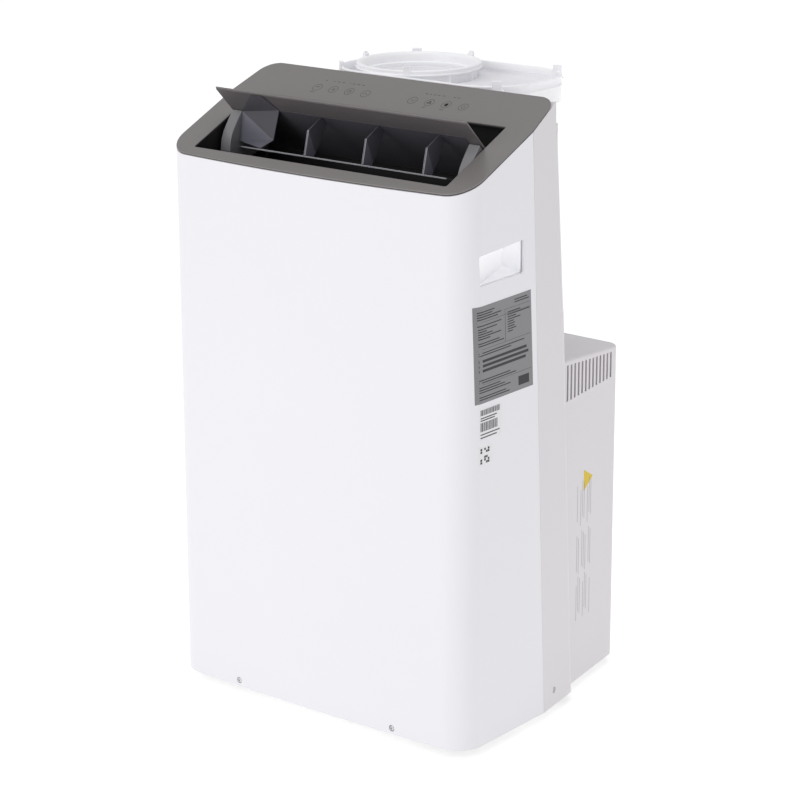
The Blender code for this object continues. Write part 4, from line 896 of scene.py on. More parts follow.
def key_sign(kind, cx, cy, bm):
    """Plain sign inside a touch key."""
    if kind == "clock":
        ring_mark(cx, cy, 0.0032, KEY_LINE, 0, 358, bm, 24)
        bar_mark(cx, cy + 0.0009, 0.0018, KEY_LINE, 90, bm)
        bar_mark(cx + 0.0007, cy, 0.0014, KEY_LINE, 0, bm)
    elif kind == "up":
        bar_mark(cx - 0.0014, cy, 0.0042, 0.0006, 45, bm)
        bar_mark(cx + 0.0014, cy, 0.0042, 0.0006, -45, bm)
    elif kind == "down":
        bar_mark(cx - 0.0014, cy, 0.0042, 0.0006, -45, bm)
        bar_mark(cx + 0.0014, cy, 0.0042, 0.0006, 45, bm)
    elif kind == "bars":
        for k in (-1, 0, 1):
            bar_mark(cx, cy + 0.0016 * k, 0.0050 - 0.0009 * k, 0.0005, 0, bm)
    elif kind == "fan":
        for k in range(3):
            flat_shape(arc(cx + 0.0021 * math.cos(math.radians(90 + 120 * k)),
                           cy + 0.0021 * math.sin(math.radians(90 + 120 * k)), 0.0015, 0, 342, 18), bm)
    elif kind == "moon":
        flat_shape(arc(cx, cy, 0.0030, 60, 300, 20) + arc(cx + 0.0016, cy, 0.0028, 285, 75, 14), bm)
    elif kind == "swing":
        ring_mark(cx, cy - 0.0012, 0.0036, 0.0005, 30, 150, bm, 16)
        bar_mark(cx, cy + 0.0004, 0.0030, 0.0005, 60, bm)
    else:
        ring_mark(cx, cy, 0.0030, 0.0005, 120, 420, bm, 24)
        bar_mark(cx, cy + 0.0022, 0.0024, 0.0005, 90, bm)


def keys():
    rings, signs = bmesh.new(), bmesh.new()
    kinds = {-1: ["swing", "bars", "clock", "up"], 1: ["down", "fan", "moon", "power"]}
    for side in (-1, 1):
        for i in range(4):
            order = 3 - i if side < 0 else i
            x = side * (KEY_FIRST + KEY_PITCH * i)
            ring_mark(x, KEY_Y, KEY_RADIUS, KEY_LINE, 0, 359, rings)
            key_sign(kinds[side][order], x, KEY_Y, signs)
    legend = [(-0.1165, 0.0030), (-0.103, 0.0022), (-0.0955, 0.0040), (-0.0875, 0.0034), (-0.0765, 0.0018),
              (-0.0705, 0.0042), (-0.0625, 0.0044), (-0.0545, 0.0042), (0.0495, 0.0036), (0.0560, 0.0030),
              (0.0625, 0.0040), (0.0690, 0.0036), (0.0765, 0.0040), (0.0940, 0.0030), (0.1005, 0.0036)]
    for x, length in legend:
        bar_mark(x, 0.1800, length, 0.0009, 0, signs)
    for x, y, length in ((-0.1205, 0.1540, 0.0060), (0.0640, 0.1535, 0.0050), (0.0925, 0.1535, 0.0070)):
        bar_mark(x, y, length, 0.0008, 0, signs)
    make("key_rings", rings, "print")
    make("key_signs", signs, "print")


def side_point(y, z, lift):
    """A point on the right side of the front casing, round into its front corner."""
    radius = FRONT_RADIUS + lift
    if y >= CORNER_Y:
        return (HALF_WIDTH + lift, y, z)
    return (CORNER_X + math.sqrt(max(0.0, radius ** 2 - (y - CORNER_Y) ** 2)), y, z)


def side_sheet(corners, lift, bm, steps=24, base=0.0):
    """Thin sheet on the casing's right side; corners are (y, z): low front, low back, top back, top front."""
    (ay, az), (by, bz), (cy, cz), (dy, dz) = corners
    low, high = [], []
    for i in range(steps + 1):
        t = i / steps
        y0, z0 = ay + (by - ay) * t, az + (bz - az) * t
        y1, z1 = dy + (cy - dy) * t, dz + (cz - dz) * t
        low.append((y0, z0))
        high.append((y1, z1))
    rings = []
    for offset, row in ((base, low), (lift, low), (lift, high), (base, high)):
        rings.append([side_point(y, z, offset) for y, z in row])
    rows = [[bm.verts.new(point) for point in ring] for ring in rings]
    for a, b in zip(rows, rows[1:] + rows[:1]):
        for k in range(steps):
            bm.faces.new((a[k], a[k + 1], b[k + 1], b[k]))
    bm.faces.new([row[0] for row in rows])
    bm.faces.new([row[-1] for row in rows])


PLATE = [(0.0282, 0.4550), (0.1460, 0.4555), (0.1388, 0.5800), (0.0241, 0.5780)]


def plate_at(u, v):
    """Point of the rating plate: u from its front edge to its back, v from bottom to top."""
    (ay, az), (by, bz), (cy, cz), (dy, dz) = PLATE
    low = (ay + (by - ay) * u, az + (bz - az) * u)
    high = (dy + (cy - dy) * u, dz + (cz - dz) * u)
    return (low[0] + (high[0] - low[0]) * v, low[1] + (high[1] - low[1]) * v)


def plate_mark(u0, u1, v0, v1, bm, lift=0.00022):
    corners = [plate_at(u0, v0), plate_at(u1, v0), plate_at(u1, v1), plate_at(u0, v1)]
    side_sheet(corners, lift, bm, 12, 0.0001)


def plates():
    """Plain rating plate and stickers: rules and short bars stand where print would be."""
    plate = bmesh.new()
    side_sheet(PLATE, 0.00015, plate, 32, -0.0003)
    make("rating_plate", plate, "plate")
    marks = bmesh.new()
    lines = [(0.94, 0.05, 0.34), (0.915, 0.05, 0.3), (0.89, 0.05, 0.46), (0.865, 0.05, 0.4),
             (0.955, 0.7, 0.93), (0.93, 0.7, 0.96), (0.8, 0.05, 0.46), (0.765, 0.06, 0.38),
             (0.74, 0.06, 0.2), (0.715, 0.06, 0.3), (0.69, 0.06, 0.45), (0.665, 0.06, 0.26),
             (0.62, 0.06, 0.42), (0.595, 0.06, 0.5), (0.85, 0.57, 0.8), (0.825, 0.57, 0.97),
             (0.8, 0.57, 0.72), (0.775, 0.57, 0.8), (0.75, 0.57, 0.68), (0.725, 0.57, 0.7),
             (0.7, 0.57, 0.69), (0.675, 0.57, 0.72), (0.65, 0.57, 0.66), (0.52, 0.06, 0.86),
             (0.495, 0.06, 0.62), (0.24, 0.06, 0.6), (0.215, 0.06, 0.7), (0.165, 0.06, 0.42),
             (0.14, 0.06, 0.5), (0.115, 0.06, 0.6), (0.065, 0.06, 0.52), (0.04, 0.06, 0.58)]
    for v, u0, u1 in lines:
        plate_mark(u0, u1, v - 0.0055, v + 0.0055, marks)
    for v, u1 in ((0.435, 0.90), (0.385, 0.93), (0.335, 0.88)):
        plate_mark(0.06, u1, v - 0.014, v + 0.014, marks)
    for v in (0.885, 0.835, 0.555, 0.190):
        plate_mark(0.5 if v > 0.86 else 0.04, 0.97, v, v + 0.003, marks)
    plate_mark(0.525, 0.53, 0.56, 0.87, marks)
    plate_mark(0.74, 0.93, 0.05, 0.145, marks)
    make("plate_marks", marks, "ink")

    paper, ink = bmesh.new(), bmesh.new()

    def sheet(y0, y1, z0, z1, lift, bm, base):
        side_sheet([(y0, z0), (y1, z0), (y1, z1), (y0, z1)], lift, bm, 12, base)

    sheet(0.0350, 0.0800, 0.4080, 0.4480, 0.00012, paper, -0.0003)
    sheet(0.0335, 0.0615, 0.3757, 0.3990, 0.00012, paper, -0.0003)
    for z0, z1, stop in ((0.4395, 0.4468, 0.076), (0.4190, 0.4305, 0.072)):
        y, i = 0.0372, 0
        while y < stop:
            width = (0.0011, 0.0005, 0.0016, 0.0007)[i * 7 % 4]
            sheet(y, y + width, z0, z1, 0.0002, ink, 0.0)
            y += width + (0.0008, 0.0011, 0.0006)[i * 5 % 3]
            i += 1
    for z, stop in ((0.4355, 0.070), (0.4325, 0.066), (0.4145, 0.076), (0.4105, 0.070)):
        sheet(0.0372, stop, z, z + 0.0014, 0.0002, ink, 0.0)
    for row in range(6):
        for column in range(6):
            if (row * 3 + column * 5 + row * column) % 4 in (0, 3):
                y, z = 0.0372 + 0.0037 * column, 0.3775 + 0.0034 * row
                sheet(y, y + 0.0032, z, z + 0.0028, 0.0002, ink, 0.0)
    make("sticker_paper", paper, "paper")
    make("sticker_marks", ink, "ink")

    strip = bmesh.new()

    def box_mark(y0, y1, z0, z1, lift):
        rings = []
        for offset in (-0.0002, lift):
            ring = [(y0, z0), (y1, z0), (y1, z1), (y0, z1)]
            rings.append([(box_side_x(y) + offset, y, z) for y, z in ring])
        rings_body(rings, strip)

    for i in range(9):
        y = 0.2945 + 0.0050 * i
        for k in range(3):
            if (i + k) % 4 != 3:
                z0 = 0.086 + 0.066 * k + 0.004 * ((i * 3 + k) % 4)
                box_mark(y, y + 0.0011, z0, z0 + 0.050, 0.0001)
    make("side_strip_marks", strip, "ink_pale")
    mark = bmesh.new()
    tri = [(0.3130, 0.2640), (0.3400, 0.2790), (0.3130, 0.2940)]
    rings_body([[(box_side_x(y) + h, y, z) for y, z in tri] for h in (-0.0002, 0.0001)], mark)
    make("side_triangle", mark, "yellow")


# ---------------------------------------------------------------- hose collar, ring and grille


def collar_plan(inset):
    return rounded_rect(-COLLAR_HALF + inset, COLLAR_HALF - inset, COLLAR_FRONT + inset, COLLAR_BACK - inset,
                        [COLLAR_RADIUS - inset] * 4, 24)


COLLAR_TABS = ((312.5, 0.0012), (227.5, 0.0012), (60.0, 0.0030), (120.0, 0.0030))
RING_TABS = (189.0, 69.0, 297.0)


def collar_point(facing):
    """Point on the outside of the collar's corner that faces this way."""
    c, s = math.cos(math.radians(facing)), math.sin(math.radians(facing))
    x = math.copysign(COLLAR_HALF - COLLAR_RADIUS, c)
    y = COLLAR_BACK - COLLAR_RADIUS if s > 0 else COLLAR_FRONT + COLLAR_RADIUS
    return x + COLLAR_RADIUS * c, y + COLLAR_RADIUS * s


def tab(x, y, facing, inward, outward, half, low, high, bm=None):
    c, s = math.cos(math.radians(facing)), math.sin(math.radians(facing))
    corners = rounded_corners([(-inward, -half), (outward, -half), (outward, half), (-inward, half)],
                              0.0008, 3)
    return prism([(x + c * u - s * v, y + s * u + c * v) for u, v in corners], low, high, bm)


def collar():
    floor_top = COLLAR_LOW + WALL
    section = [(0.0016, COLLAR_LOW), (0.0012, COLLAR_LOW + 0.001), (0.0012, COLLAR_TOP - 0.0150)]
    section += bead(0.0014, COLLAR_TOP - 0.0132, 0.0013, -60, 60)
    section += [(0.0012, COLLAR_TOP - 0.0112), (0.0010, COLLAR_TOP - 0.0050)]
    section += bead(0.0020, COLLAR_TOP - 0.0022, 0.0020, -40, 150, 10)
    section += [(0.0042, COLLAR_TOP - 0.0050), (0.0046, COLLAR_TOP - 0.0090), (0.0030, COLLAR_TOP - 0.0100),
                (0.0030, floor_top - 0.0005), (0.0030, COLLAR_LOW)]
    make("collar_wall", swept(collar_plan, section), "collar", nodes=["hose_collar"],
         sharp=45.0)
    floor = make("collar_floor", prism(collar_plan(WALL + 0.00005), COLLAR_LOW, floor_top), "collar")
    cut(floor, prism(riser_plan(COLLAR_LOW, 0.0006), 0.70, 0.90))
    cut(floor, prism(rounded_rect(0.030, 0.108, 0.238, 0.345, (0.01,) * 4), 0.70, 0.80))
    tabs = bmesh.new()
    for facing, outward in COLLAR_TABS:
        x, y = collar_point(facing)
        tab(x, y, facing, 0.0045, outward, 0.0062, COLLAR_TOP - 0.0165, COLLAR_TOP + 0.0063, tabs)
    clips = make("collar_clips", tabs, "collar")
    for facing, outward in COLLAR_TABS[2:]:
        x, y = collar_point(facing)
        cut(clips, tab(x, y, facing, 0.0020, 0.0100, 0.0018, COLLAR_TOP - 0.0030, COLLAR_TOP + 0.0035))
    soften(clips, 0.0007, 3)
    nubs = bmesh.new()
    for x, y in ((0.1353, 0.3556), (-0.1353, 0.3556), (0.1330, 0.2270), (-0.1330, 0.2270)):
        turned([(0.0, -0.0016), (0.0022, -0.0008), (0.0026, 0.0), (0.0022, 0.0010), (0.0, 0.0018)], 20, "Z",
               (x, y, COLLAR_TOP - 0.0060), nubs)
    make("collar_nubs", nubs, "collar")


def exhaust_ring():
    low = COLLAR_LOW + WALL + GAP
    profile = [(0.0775, low), (0.0775, 0.8030), (0.0788, 0.8055), (0.0812, 0.8066), (0.0824, 0.8072)]
    profile += [(0.0822 + 0.0016 * math.cos(math.radians(a)), 0.8090 + 0.0016 * math.sin(math.radians(a)))
                for a in range(-70, 71, 20)]
    profile += [(0.0826, 0.8108), (0.0830, 0.8135)]
    profile += [(0.0814 + 0.0016 * math.cos(math.radians(a)),
                 RING_TOP - 0.0016 + 0.0016 * math.sin(math.radians(a)))
                for a in range(0, 91, 18)]
    profile += [(0.0780, RING_TOP), (0.0768, RING_TOP - 0.0006), (0.0752, 0.8115), (0.0744, 0.8070),
                (0.0740, 0.8030), (0.0722, 0.8026), (0.0712, 0.8020), (0.0710, 0.8000), (0.0710, 0.7985),
                (0.0718, 0.7980), (0.0718, 0.7965), (0.0710, 0.7960), (0.0710, low)]
    make("ring_wall", turned(profile, 128, "Z", (RING_X, RING_Y, 0.0)), "collar", nodes=["exhaust_ring"],
         sharp=45.0)
    tabs = bmesh.new()
    for facing in RING_TABS:
        x = RING_X + 0.0815 * math.cos(math.radians(facing))
        y = RING_Y + 0.0815 * math.sin(math.radians(facing))
        tab(x, y, facing, 0.0028, 0.0020, 0.005, RING_TOP - 0.0080, RING_TOP + 0.0040, tabs)
        tab(x, y, facing, 0.0012, 0.0022, 0.0036, RING_TOP + 0.0030, RING_TOP + 0.0064, tabs)
    for k in range(12):
        angle = 30.0 * k + 8.0
        x = RING_X + 0.0780 * math.cos(math.radians(angle))
        y = RING_Y + 0.0780 * math.sin(math.radians(angle))
        tab(x, y, angle, 0.0008, 0.0040, 0.0009, 0.7960, 0.8068, tabs)
    soften(make("ring_clips", tabs, "collar"), 0.0005, 2)


def collar_reach(y, inset):
    """Half width of the collar's inside at one depth."""
    radius = COLLAR_RADIUS - inset
    near = max(0.0, (COLLAR_FRONT + COLLAR_RADIUS) - y, y - (COLLAR_BACK - COLLAR_RADIUS))
    return COLLAR_HALF - COLLAR_RADIUS + math.sqrt(max(0.0, radius ** 2 - near ** 2))


def intake_grille():
    """Fine ribs across the collar beside the exhaust ring, over a few deeper cross bars."""
    bm = bmesh.new()
    edge = WALL + 0.0024
    clear = 0.0783
    y = COLLAR_FRONT + edge + 0.002
    while y < COLLAR_BACK - edge - 0.001:
        wide = collar_reach(y, edge)
        gap = math.sqrt(max(0.0, clear ** 2 - (y - RING_Y) ** 2))
        runs = [(RING_X + gap, wide), (-wide, RING_X - gap)] if gap > 0 else [(-wide, wide)]
        for x0, x1 in runs:
            if x1 - x0 > 0.004:
                block((x0, y - 0.0007, 0.7920), (x1, y + 0.0007, 0.7960), bm)
        y += 0.0036
    for x in (-0.136, 0.030, 0.056, 0.082, 0.108, 0.134):
        near = max(0.0, abs(x) - (COLLAR_HALF - COLLAR_RADIUS))
        span = math.sqrt(max(0.0, (COLLAR_RADIUS - edge) ** 2 - near ** 2))
        y0, y1 = COLLAR_FRONT + COLLAR_RADIUS - span, COLLAR_BACK - COLLAR_RADIUS + span
        inside = clear ** 2 - (x - RING_X) ** 2
        parts = [(y0, y1)]
        if inside > 0:
            parts = [(y0, RING_Y - math.sqrt(inside)), (RING_Y + math.sqrt(inside), y1)]
        for a, b in parts:
            if b - a > 0.003:
                block((x - 0.0009, a, 0.7900), (x + 0.0009, b, 0.7925), bm)
    make("grille_ribs", bm, "collar", nodes=["intake_grille"])
    rim = swept(lambda inset: collar_plan(WALL + 0.0004 + inset),
                [(0.0, 0.7915), (0.0, 0.7965), (0.0024, 0.7965), (0.0024, 0.7915)])
    make("grille_rim", rim, "collar")


# ---------------------------------------------------------------- louvre


def along_flap(distance, depth=0.0):
    """A point on the flap: distance back from its tip, depth below its outer face."""
    s = math.sqrt(0.5)
    return (FLAP_TIP[0] + s * distance - s * depth, FLAP_TIP[1] - s * distance - s * depth)


def louvre():
    body = "louvre"
    skin = 0.0014
    flap = [along_flap(0.0003), along_flap(0.0), along_flap(0.0003, 0.0006), along_flap(0.0010, skin),
            along_flap(FLAP_CHORD, skin), along_flap(FLAP_CHORD)]
    obj = make("flap_skin", prism_x(flap, -FLAP_HALF, FLAP_HALF), "louvre", body, ["louvre_flap"])
    soften(obj, 0.0003)
    # underside strip in the darker grey: painted shade
    strip = [along_flap(0.0016, skin), along_flap(0.0024, FLAP_THICK), along_flap(FLAP_CHORD, FLAP_THICK),
             along_flap(FLAP_CHORD, skin)]
    make("flap_back", prism_x(strip, -FLAP_HALF + 0.0004, FLAP_HALF - 0.0004), "under", body)

    depth = FLAP_THICK + 0.0008
    outline = [(-CHEEK_IN, 0.0445), (-0.1440, 0.0030), (-0.1260, 0.0030), (-0.1120, 0.0320),
               (CHEEK_IN, 0.0320), (CHEEK_IN, FLAP_CHORD - 0.004), (-CHEEK_IN, FLAP_CHORD - 0.004)]
    rings = []
    for level in (FLAP_THICK, depth):
        rings.append([(x, *along_flap(d, level)) for x, d in outline])
    soften(make("flap_liner", rings_body(rings), "liner", body), 0.0002)

    under = FLAP_THICK + GAP
    nose = [(0.0845, 0.757), (0.0800, 0.7515), (0.0745, 0.7440), (0.0700, 0.7370), (0.0668, 0.7300),
            (0.0652, 0.7235), (0.0647, 0.719)]
    cheek = [along_flap(0.0445, under)] + nose
    cheek += arc(PIVOT_Y, PIVOT_Z, 0.0335, 212.0, 300.0, 24)
    cheek += [along_flap(FLAP_CHORD - 0.004, under)]
    for tag, side in (("left", -1), ("right", 1)):
        obj = make(f"cheek_{tag}", prism_x(cheek, side * CHEEK_IN, side * CHEEK_OUT), "cheek", body,
                   [f"louvre_cheek_{tag}"])
        soften(obj, 0.0011, 4)
        ends = sorted((side * (CHEEK_OUT - 0.002), side * 0.2090))
        make(f"cheek_pin_{tag}", rod(0.005, *ends, 40, "X", (0.0, PIVOT_Y, PIVOT_Z)), "nylon", body)

    half = CHEEK_IN - GAP
    outline = [(-0.115, 0.044), (half, 0.044), (half, 0.068), (-0.140, 0.068),
               (-half, 0.0905), (-half, 0.0843)]
    plate = prism(outline, lambda x, y: blade_z(y, 0.0012), lambda x, y: blade_z(y))
    soften(make("air_blade", plate, "smoke", body, ["louvre_blade"]), 0.0004)
    # light strip along the blade's front edge: painted highlight
    edge = bmesh.new()
    for (ax, ay), (bx, by) in ((outline[5], outline[0]), (outline[0], outline[1])):
        rings = []
        for x, y in ((ax, ay), (bx, by)):
            z = blade_z(y)
            rings.append([(x, y, z + 0.0003), (x, y + 0.0012, z + 0.0001), (x, y + 0.0012, z - 0.0011),
                          (x, y, z - 0.0013)])
        rings_body(rings, edge)
    make("blade_painted_highlight", edge, "rim", body)

    # each flat vane gets a thin lighter sheet on its lower part and a darker one on its upper part: painted
    # light below, painted shadow of the flap above
    low_facet, high_facet, highlight_edges = bmesh.new(), bmesh.new(), bmesh.new()
    for i, x in enumerate((-0.0425, 0.0515, 0.1470)):
        side_view = [along_flap(0.0320, under), (0.0540, 0.7588), (0.0465, 0.7279), (0.0640, 0.7233),
                     (0.0765, 0.7390), along_flap(0.0455, under)]
        obj = make(f"air_vane_{i + 1}", prism_x(side_view, x - 0.0009, x + 0.0009), "liner", body,
                   [f"louvre_vane_{i + 1}"], sharp=8.0)
        soften(obj, 0.0003, 2, 60.0)
        lower = [(0.0542, 0.7588), (0.0469, 0.7283), (0.0637, 0.7238), (0.0668, 0.7278)]
        upper = [along_flap(0.0324, under), (0.0542, 0.7588), (0.0668, 0.7278), (0.0760, 0.7388),
                 along_flap(0.0450, under)]
        # light strip along each vane's front edge: painted highlight
        edge_line = [(0.0541, 0.7590), (0.0466, 0.7281), (0.0472, 0.7280), (0.0547, 0.7589)]
        prism_x(edge_line, x - 0.0010, x + 0.0011, highlight_edges)
        prism_x(lower, x + 0.0008, x + 0.0010, low_facet)
        prism_x(upper, x + 0.0008, x + 0.0010, high_facet)
    make("vane_painted_highlight_edges", highlight_edges, "rim", body, sharp=8.0)
    make("vane_low_facets", low_facet, "facet", body, sharp=8.0)
    make("vane_high_facets", high_facet, "smoke", body, sharp=8.0)

    corners = [(-half, *along_flap(0.0465, under)), (-0.139, *along_flap(0.003, under)),
               (-0.125, *along_flap(0.003, under)), (-0.1125, *along_flap(0.0320, under)),
               (-0.112, 0.068, 0.7357), (-0.115, 0.046, 0.7285), (-half, 0.0843, 0.7240)]
    folds = ((0, 1, 2, 3), (0, 3, 4), (0, 4, 6), (6, 4, 5))
    plate = folded_plate(corners, folds, (0.0, -0.0013, 0.0004))
    obj = make("air_deflector", plate, "liner", body, ["louvre_deflector"], sharp=4.0)
    # the deflector's lower triangles take the lighter colour as painted light, and its upper part stays dark
    # as painted shadow of the flap
    obj.data.materials.append(LOOKS["facet"])
    for face in obj.data.polygons:
        if len(face.vertices) == 3 and face.center.z < DATUM.z + 0.7450:
            face.material_index = 1


def blade_z(y, drop=0.0):
    """Top of the cross blade, nearly level and falling a little to the back."""
    return 0.7278 - 0.26 * (y - 0.044) - drop


def folded_plate(corners, folds, shift):
    """Thin plate folded where its faces meet: corners in order round the edge, then the faces."""
    bm = bmesh.new()
    skins = []
    for move in (Vector(), Vector(shift)):
        skins.append([bm.verts.new(Vector(point) + move) for point in corners])
    for skin in skins:
        for fold in folds:
            bm.faces.new([skin[i] for i in fold])
    top, under = skins
    for i in range(len(corners)):
        j = (i + 1) % len(corners)
        bm.faces.new((top[i], top[j], under[j], under[i]))
    return bm


def outlet_duct():
    """Black throat from the blower's outlet up to the opening in the bezel."""
    drop = PANEL_THICK + GAP

    def ring(inset, x0, x1, y0, y1, level):
        corners = rounded_corners([(x0 + inset, y0 + inset), (x1 - inset, y0 + inset),
                                   (x1 - inset, y1 - inset), (x0 + inset, y1 - inset)], 0.004, 5)
        return [(x, y, level(y)) for x, y in corners]

    bm = bmesh.new()
    rows = []
    steps = 10
    for inset in (0.0, 0.002):
        stack = []
        for i in range(steps + 1):
            t = i / steps
            s = t * t * (3 - 2 * t)
            stack.append(ring(inset, -0.132 - 0.0755 * s, 0.049 + 0.1585 * s,
                              0.045 - 0.0315 * s, 0.135 + 0.027 * s,
                              lambda y, t=t: 0.6004 + 0.0716 * t))
        stack.append(ring(inset, -0.2075, 0.2075, 0.0135, 0.162, lambda y: panel_z(y, drop)))
        rows.append(stack)
    stack = rows[0] + rows[1][::-1]
    verts = [[bm.verts.new(p) for p in r] for r in stack]
    count = len(verts[0])
    for a, b in zip(verts, verts[1:] + verts[:1]):
        for i in range(count):
            j = (i + 1) % count
            bm.faces.new((a[i], a[j], b[j], b[i]))
    obj = make("throat", bm, "duct", nodes=["outlet_duct"])
    cut(obj, rod(0.0053, -0.25, 0.25, 32, "X", (0.0, PIVOT_Y, PIVOT_Z)))


# ---------------------------------------------------------------- coils, wheels, casters, rear fittings


def coil(name, piece, rows_of_tubes):
    """Pack of thin fins on rows of copper tubes with return bends at both ends."""
    low, high = node_box(name)
    fins = bmesh.new()
    plate, pitch = 0.0004, 0.0030
    start, stop = low.x + 0.008, high.x - 0.008
    count = int((stop - start) / pitch)
    for i in range(count + 1):
        x = start + (stop - start) * i / count
        block((x - plate / 2, low.y, low.z), (x + plate / 2, high.y, high.z), fins)
    make(f"{piece}_fins", fins, "coil", nodes=[name])
    plates = bmesh.new()
    for x in (start - 0.0012, stop + 0.0012):
        block((x - 0.0006, low.y, low.z), (x + 0.0006, high.y, high.z), plates)
    make(f"{piece}_ends", plates, "steel")
    tubes = bmesh.new()
    pitch_z = (high.z - low.z) / rows_of_tubes
    radius = 0.0034
    for i in range(rows_of_tubes):
        z = low.z + pitch_z * (i + 0.5)
        for y in (low.y + (high.y - low.y) * 0.28, low.y + (high.y - low.y) * 0.72):
            rod(radius, start - 0.003, stop + 0.003, 14, "X", (0.0, y, z), tubes)
    half = pitch_z / 2
    for side, end in ((-1, start - 0.003), (1, stop + 0.003)):
        for i in range(0 if side < 0 else 1, rows_of_tubes - 1, 2):
            z = low.z + pitch_z * (i + 1)
            for y in (low.y + (high.y - low.y) * 0.28, low.y + (high.y - low.y) * 0.72):
                rings = []
                for k in range(9):
                    a = math.radians(-90 + 22.5 * k)
                    reach = min(half, 0.0048) * math.cos(a)
                    centre = Vector((end + side * reach, y, z + half * math.sin(a)))
                    out = Vector((side * math.cos(a), 0, math.sin(a)))
                    ring = []
                    for m in range(12):
                        b = 2 * math.pi * m / 12
                        ring.append(tuple(centre + radius * (out * math.cos(b)
                                                             + Vector((0, 1, 0)) * math.sin(b))))
                    rings.append(ring)
                rings_body(rings, tubes)
    make(f"{piece}_tubes", tubes, "copper")


def caster(tag):
    """Wheel with a grooved tread and a hub, and the frame's fork with its edges rounded."""
    low, high = node_box(f"caster_wheel_{tag}")
    at = (0.0, (low.y + high.y) / 2, (low.z + high.z) / 2)
    x = (low.x + high.x) / 2
    rim = (high.y - low.y) / 2
    half = (high.x - low.x) / 2
    tread = [(rim - 0.0035, -half)]
    tread += [(rim - 0.0020 + 0.0020 * math.sin(math.radians(a)),
               -half + 0.0020 - 0.0020 * math.cos(math.radians(a)))
              for a in range(0, 91, 15)]
    for g in (-0.0024, 0.0, 0.0024):
        tread += [(rim, g - 0.0005), (rim - 0.0005, g - 0.0003),
                  (rim - 0.0005, g + 0.0003), (rim, g + 0.0005)]
    tread += [(rim - 0.0020 + 0.0020 * math.cos(math.radians(a)),
               half - 0.0020 + 0.0020 * math.sin(math.radians(a)))
              for a in range(0, 91, 15)]
    tread += [(rim - 0.0035, half)]
    make(f"tyre_{tag}", turned(tread, 64, "X", (x, *at[1:])), "rubber", f"wheel_{tag}",
         [f"caster_wheel_{tag}"])
    hub = [(0.0033, -half), (0.0060, -half), (0.0062, -half + 0.0022), (rim - 0.0055, -half + 0.0022),
           (rim - 0.0052, -half + 0.0004), (rim - 0.0036, -half + 0.0003), (rim - 0.0036, half - 0.0003),
           (rim - 0.0052, half - 0.0004), (rim - 0.0055, half - 0.0022), (0.0062, half - 0.0022),
           (0.0060, half), (0.0033, half)]
    make(f"hub_{tag}", turned(hub, 48, "X", (x, *at[1:])), "nylon", f"wheel_{tag}")
    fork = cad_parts[f"caster_fork_{tag}"]
    soften(fork, 0.0006, 2, 40.0)


def rear_fittings():
    skin = BOX_BACK
    cap = [(0.0, skin - 0.014), (0.0062, skin - 0.014), (0.0070, skin - 0.0125), (0.0070, skin + GAP),
           (0.0112, skin + GAP), (0.0115, skin + 0.0010), (0.0115, skin + 0.0036)]
    cap += [(0.0115 - 0.0020 * (1 - math.cos(math.radians(a))),
             skin + 0.0038 + 0.0020 * math.sin(math.radians(a)))
            for a in range(0, 91, 15)]
    cap += [(0.0060, skin + 0.0058), (0.0055, skin + 0.0050), (0.0, skin + 0.0050)]
    make("drain_knob", turned(cap, 64, "Y", (DRAIN_X, 0.0, DRAIN_Z)), "nylon", "drain_plug",
         ["drain_cap"])
    ribs = bmesh.new()
    for k in range(24):
        a = 2 * math.pi * k / 24
        c, s = math.cos(a), math.sin(a)
        outline = [(0.0112, -0.0004), (0.01185, -0.00025), (0.01185, 0.00025), (0.0112, 0.0004)]
        prism_y([(DRAIN_X + c * u - s * v, DRAIN_Z + s * u + c * v) for u, v in outline],
                skin + 0.0012, skin + 0.0040, ribs)
    make("drain_knob_ribs", ribs, "nylon", "drain_plug")
    block_y = skin + 0.0058
    grip = make("drain_knob_grip", block((DRAIN_X - 0.0052, skin + 0.0045, DRAIN_Z - 0.0010),
                                         (DRAIN_X + 0.0052, block_y, DRAIN_Z + 0.0010)),
                "nylon", "drain_plug")
    soften(grip, 0.0003)
    outer = node_box("cord_gland")[1].y - 0.0040
    gland = [(0.0045, outer - 0.012), (0.0102, outer - 0.012), (0.0102, outer + 0.0010)]
    gland += [(0.0102 - 0.0022 * (1 - math.cos(math.radians(a))),
               outer + 0.0010 + 0.0022 * math.sin(math.radians(a)))
              for a in range(15, 91, 15)]
    gland += [(0.0070, outer + 0.0034), (0.0066, outer + 0.0040), (0.0052, outer + 0.0040),
              (0.0045, outer + 0.0034)]
    make("gland_boot", turned(gland, 64, "Y", (GLAND_X, 0.0, GLAND_Z)), "nylon", nodes=["cord_gland"])


NODE_LOOKS = {
    "air_filter_left": "filter", "air_filter_right": "filter", "louvre_motor": "steel",
    "evaporator_scroll": "pan", "evaporator_wheel": "nylon", "evaporator_motor": "steel",
    "condenser_scroll": "pan", "condenser_wheel": "nylon", "condenser_motor": "steel",
    "slinger_wheel": "nylon", "slinger_motor": "steel", "float_switch": "collar", "control_box": "steel",
    "display_board": "board", "compressor": "enamel", "accumulator": "enamel", "discharge_pipe": "copper",
    "suction_pipe": "copper", "liquid_line": "copper", "base_pan": "pan", "drain_pan": "pan",
    "caster_fork_front_left": "nylon", "caster_fork_front_right": "nylon",
    "caster_fork_rear_left": "nylon", "caster_fork_rear_right": "nylon",
}


def dress_nodes():
    """Finish on the CAD nodes that stay, with their edges broken."""
    for name, look in NODE_LOOKS.items():
        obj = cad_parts[name]
        obj.data.materials.clear()
        obj.data.materials.append(LOOKS[look])
        if not name.startswith("caster") and "pipe" not in name and "line" not in name:
            soften(obj, 0.0005, 2, 40.0)


# ---------------------------------------------------------------- studio


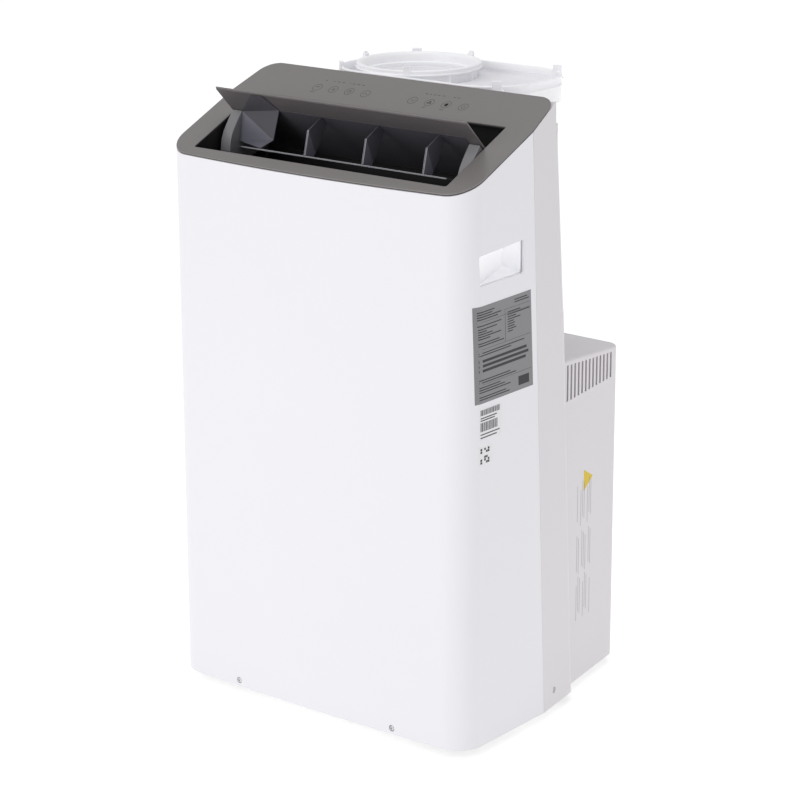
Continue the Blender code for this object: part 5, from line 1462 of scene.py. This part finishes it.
def studio():
    bm = bmesh.new()
    turned([(0.0, -0.002), (14.0, -0.002), (14.0, 0.0), (0.0, 0.0)], 96, bm=bm)
    mesh = bpy.data.meshes.new("floor")
    bmesh.ops.recalc_face_normals(bm, faces=bm.faces)
    bm.to_mesh(mesh)
    bm.free()
    floor = bpy.data.objects.new("floor", mesh)
    floor.location.z = CAD_BOX[0].z - 0.0002
    mesh.materials.append(LOOKS["floor"])
    bpy.context.scene.collection.objects.link(floor)

    world = bpy.data.worlds.new("studio")
    world.use_nodes = True
    background = world.node_tree.nodes["Background"]
    background.inputs["Color"].default_value = (0.985, 0.985, 1.0, 1.0)
    background.inputs["Strength"].default_value = 0.60
    bpy.context.scene.world = world

    lamps = [("key", (-0.9, -3.4, 1.9), (0.0, 0.0, 0.45), 2.2, 26.0, (1.0, 0.99, 1.0)),
             ("side", (3.2, 0.6, 2.2), (0.0, 0.0, 0.45), 1.6, 2.0, (1.0, 0.96, 0.97)),
             ("top", (0.2, -0.2, 3.6), (0.0, 0.1, 0.5), 2.0, 20.0, (1.0, 1.0, 1.0))]
    for name, place, aim, size, power, color in lamps:
        data = bpy.data.lights.new(name, "AREA")
        data.shape = "DISK"
        data.size = size
        data.energy = power
        data.color = color
        lamp = bpy.data.objects.new(name, data)
        lamp.location = place
        lamp.rotation_euler = (Vector(aim) - Vector(place)).to_track_quat("-Z", "Y").to_euler()
        bpy.context.scene.collection.objects.link(lamp)


CAMERA_PLACE = Vector((2.1292, -2.6987, 1.3993))
CAMERA_YAW, CAMERA_PITCH, CAMERA_ROLL = 38.5828, 16.3908, -0.1609
CAMERA_LENS = 120.737


def camera():
    yaw, pitch, roll = (math.radians(a) for a in (CAMERA_YAW, CAMERA_PITCH, CAMERA_ROLL))
    back = Vector((math.sin(yaw) * math.cos(pitch), -math.cos(yaw) * math.cos(pitch), math.sin(pitch)))
    right = (-back).cross(Vector((0.0, 0.0, 1.0))).normalized()
    up = right.cross(-back)
    r = right * math.cos(roll) + up * math.sin(roll)
    u = up * math.cos(roll) - right * math.sin(roll)
    data = bpy.data.cameras.new("camera")
    data.lens = CAMERA_LENS
    data.sensor_width = 36.0
    obj = bpy.data.objects.new("camera", data)
    obj.matrix_world = Matrix.Translation(CAMERA_PLACE) @ Matrix((r, u, back)).transposed().to_4x4()
    bpy.context.scene.collection.objects.link(obj)
    bpy.context.scene.camera = obj


camera()
studio()
casing()
for end in (-1, 1):
    handle_cup(end)
    filter_cover(end)
condenser_housing()
riser_housing()
exhaust_riser()
screws()
bezel()
keys()
plates()
collar()
exhaust_ring()
intake_grille()
louvre()
outlet_duct()
coil("evaporator_coil", "evaporator", 12)
coil("condenser_coil", "condenser", 14)
for corner in ("front_left", "front_right", "rear_left", "rear_right"):
    caster(corner)
rear_fittings()
dress_nodes()
bpy.context.scene.view_settings.view_transform = "Standard"
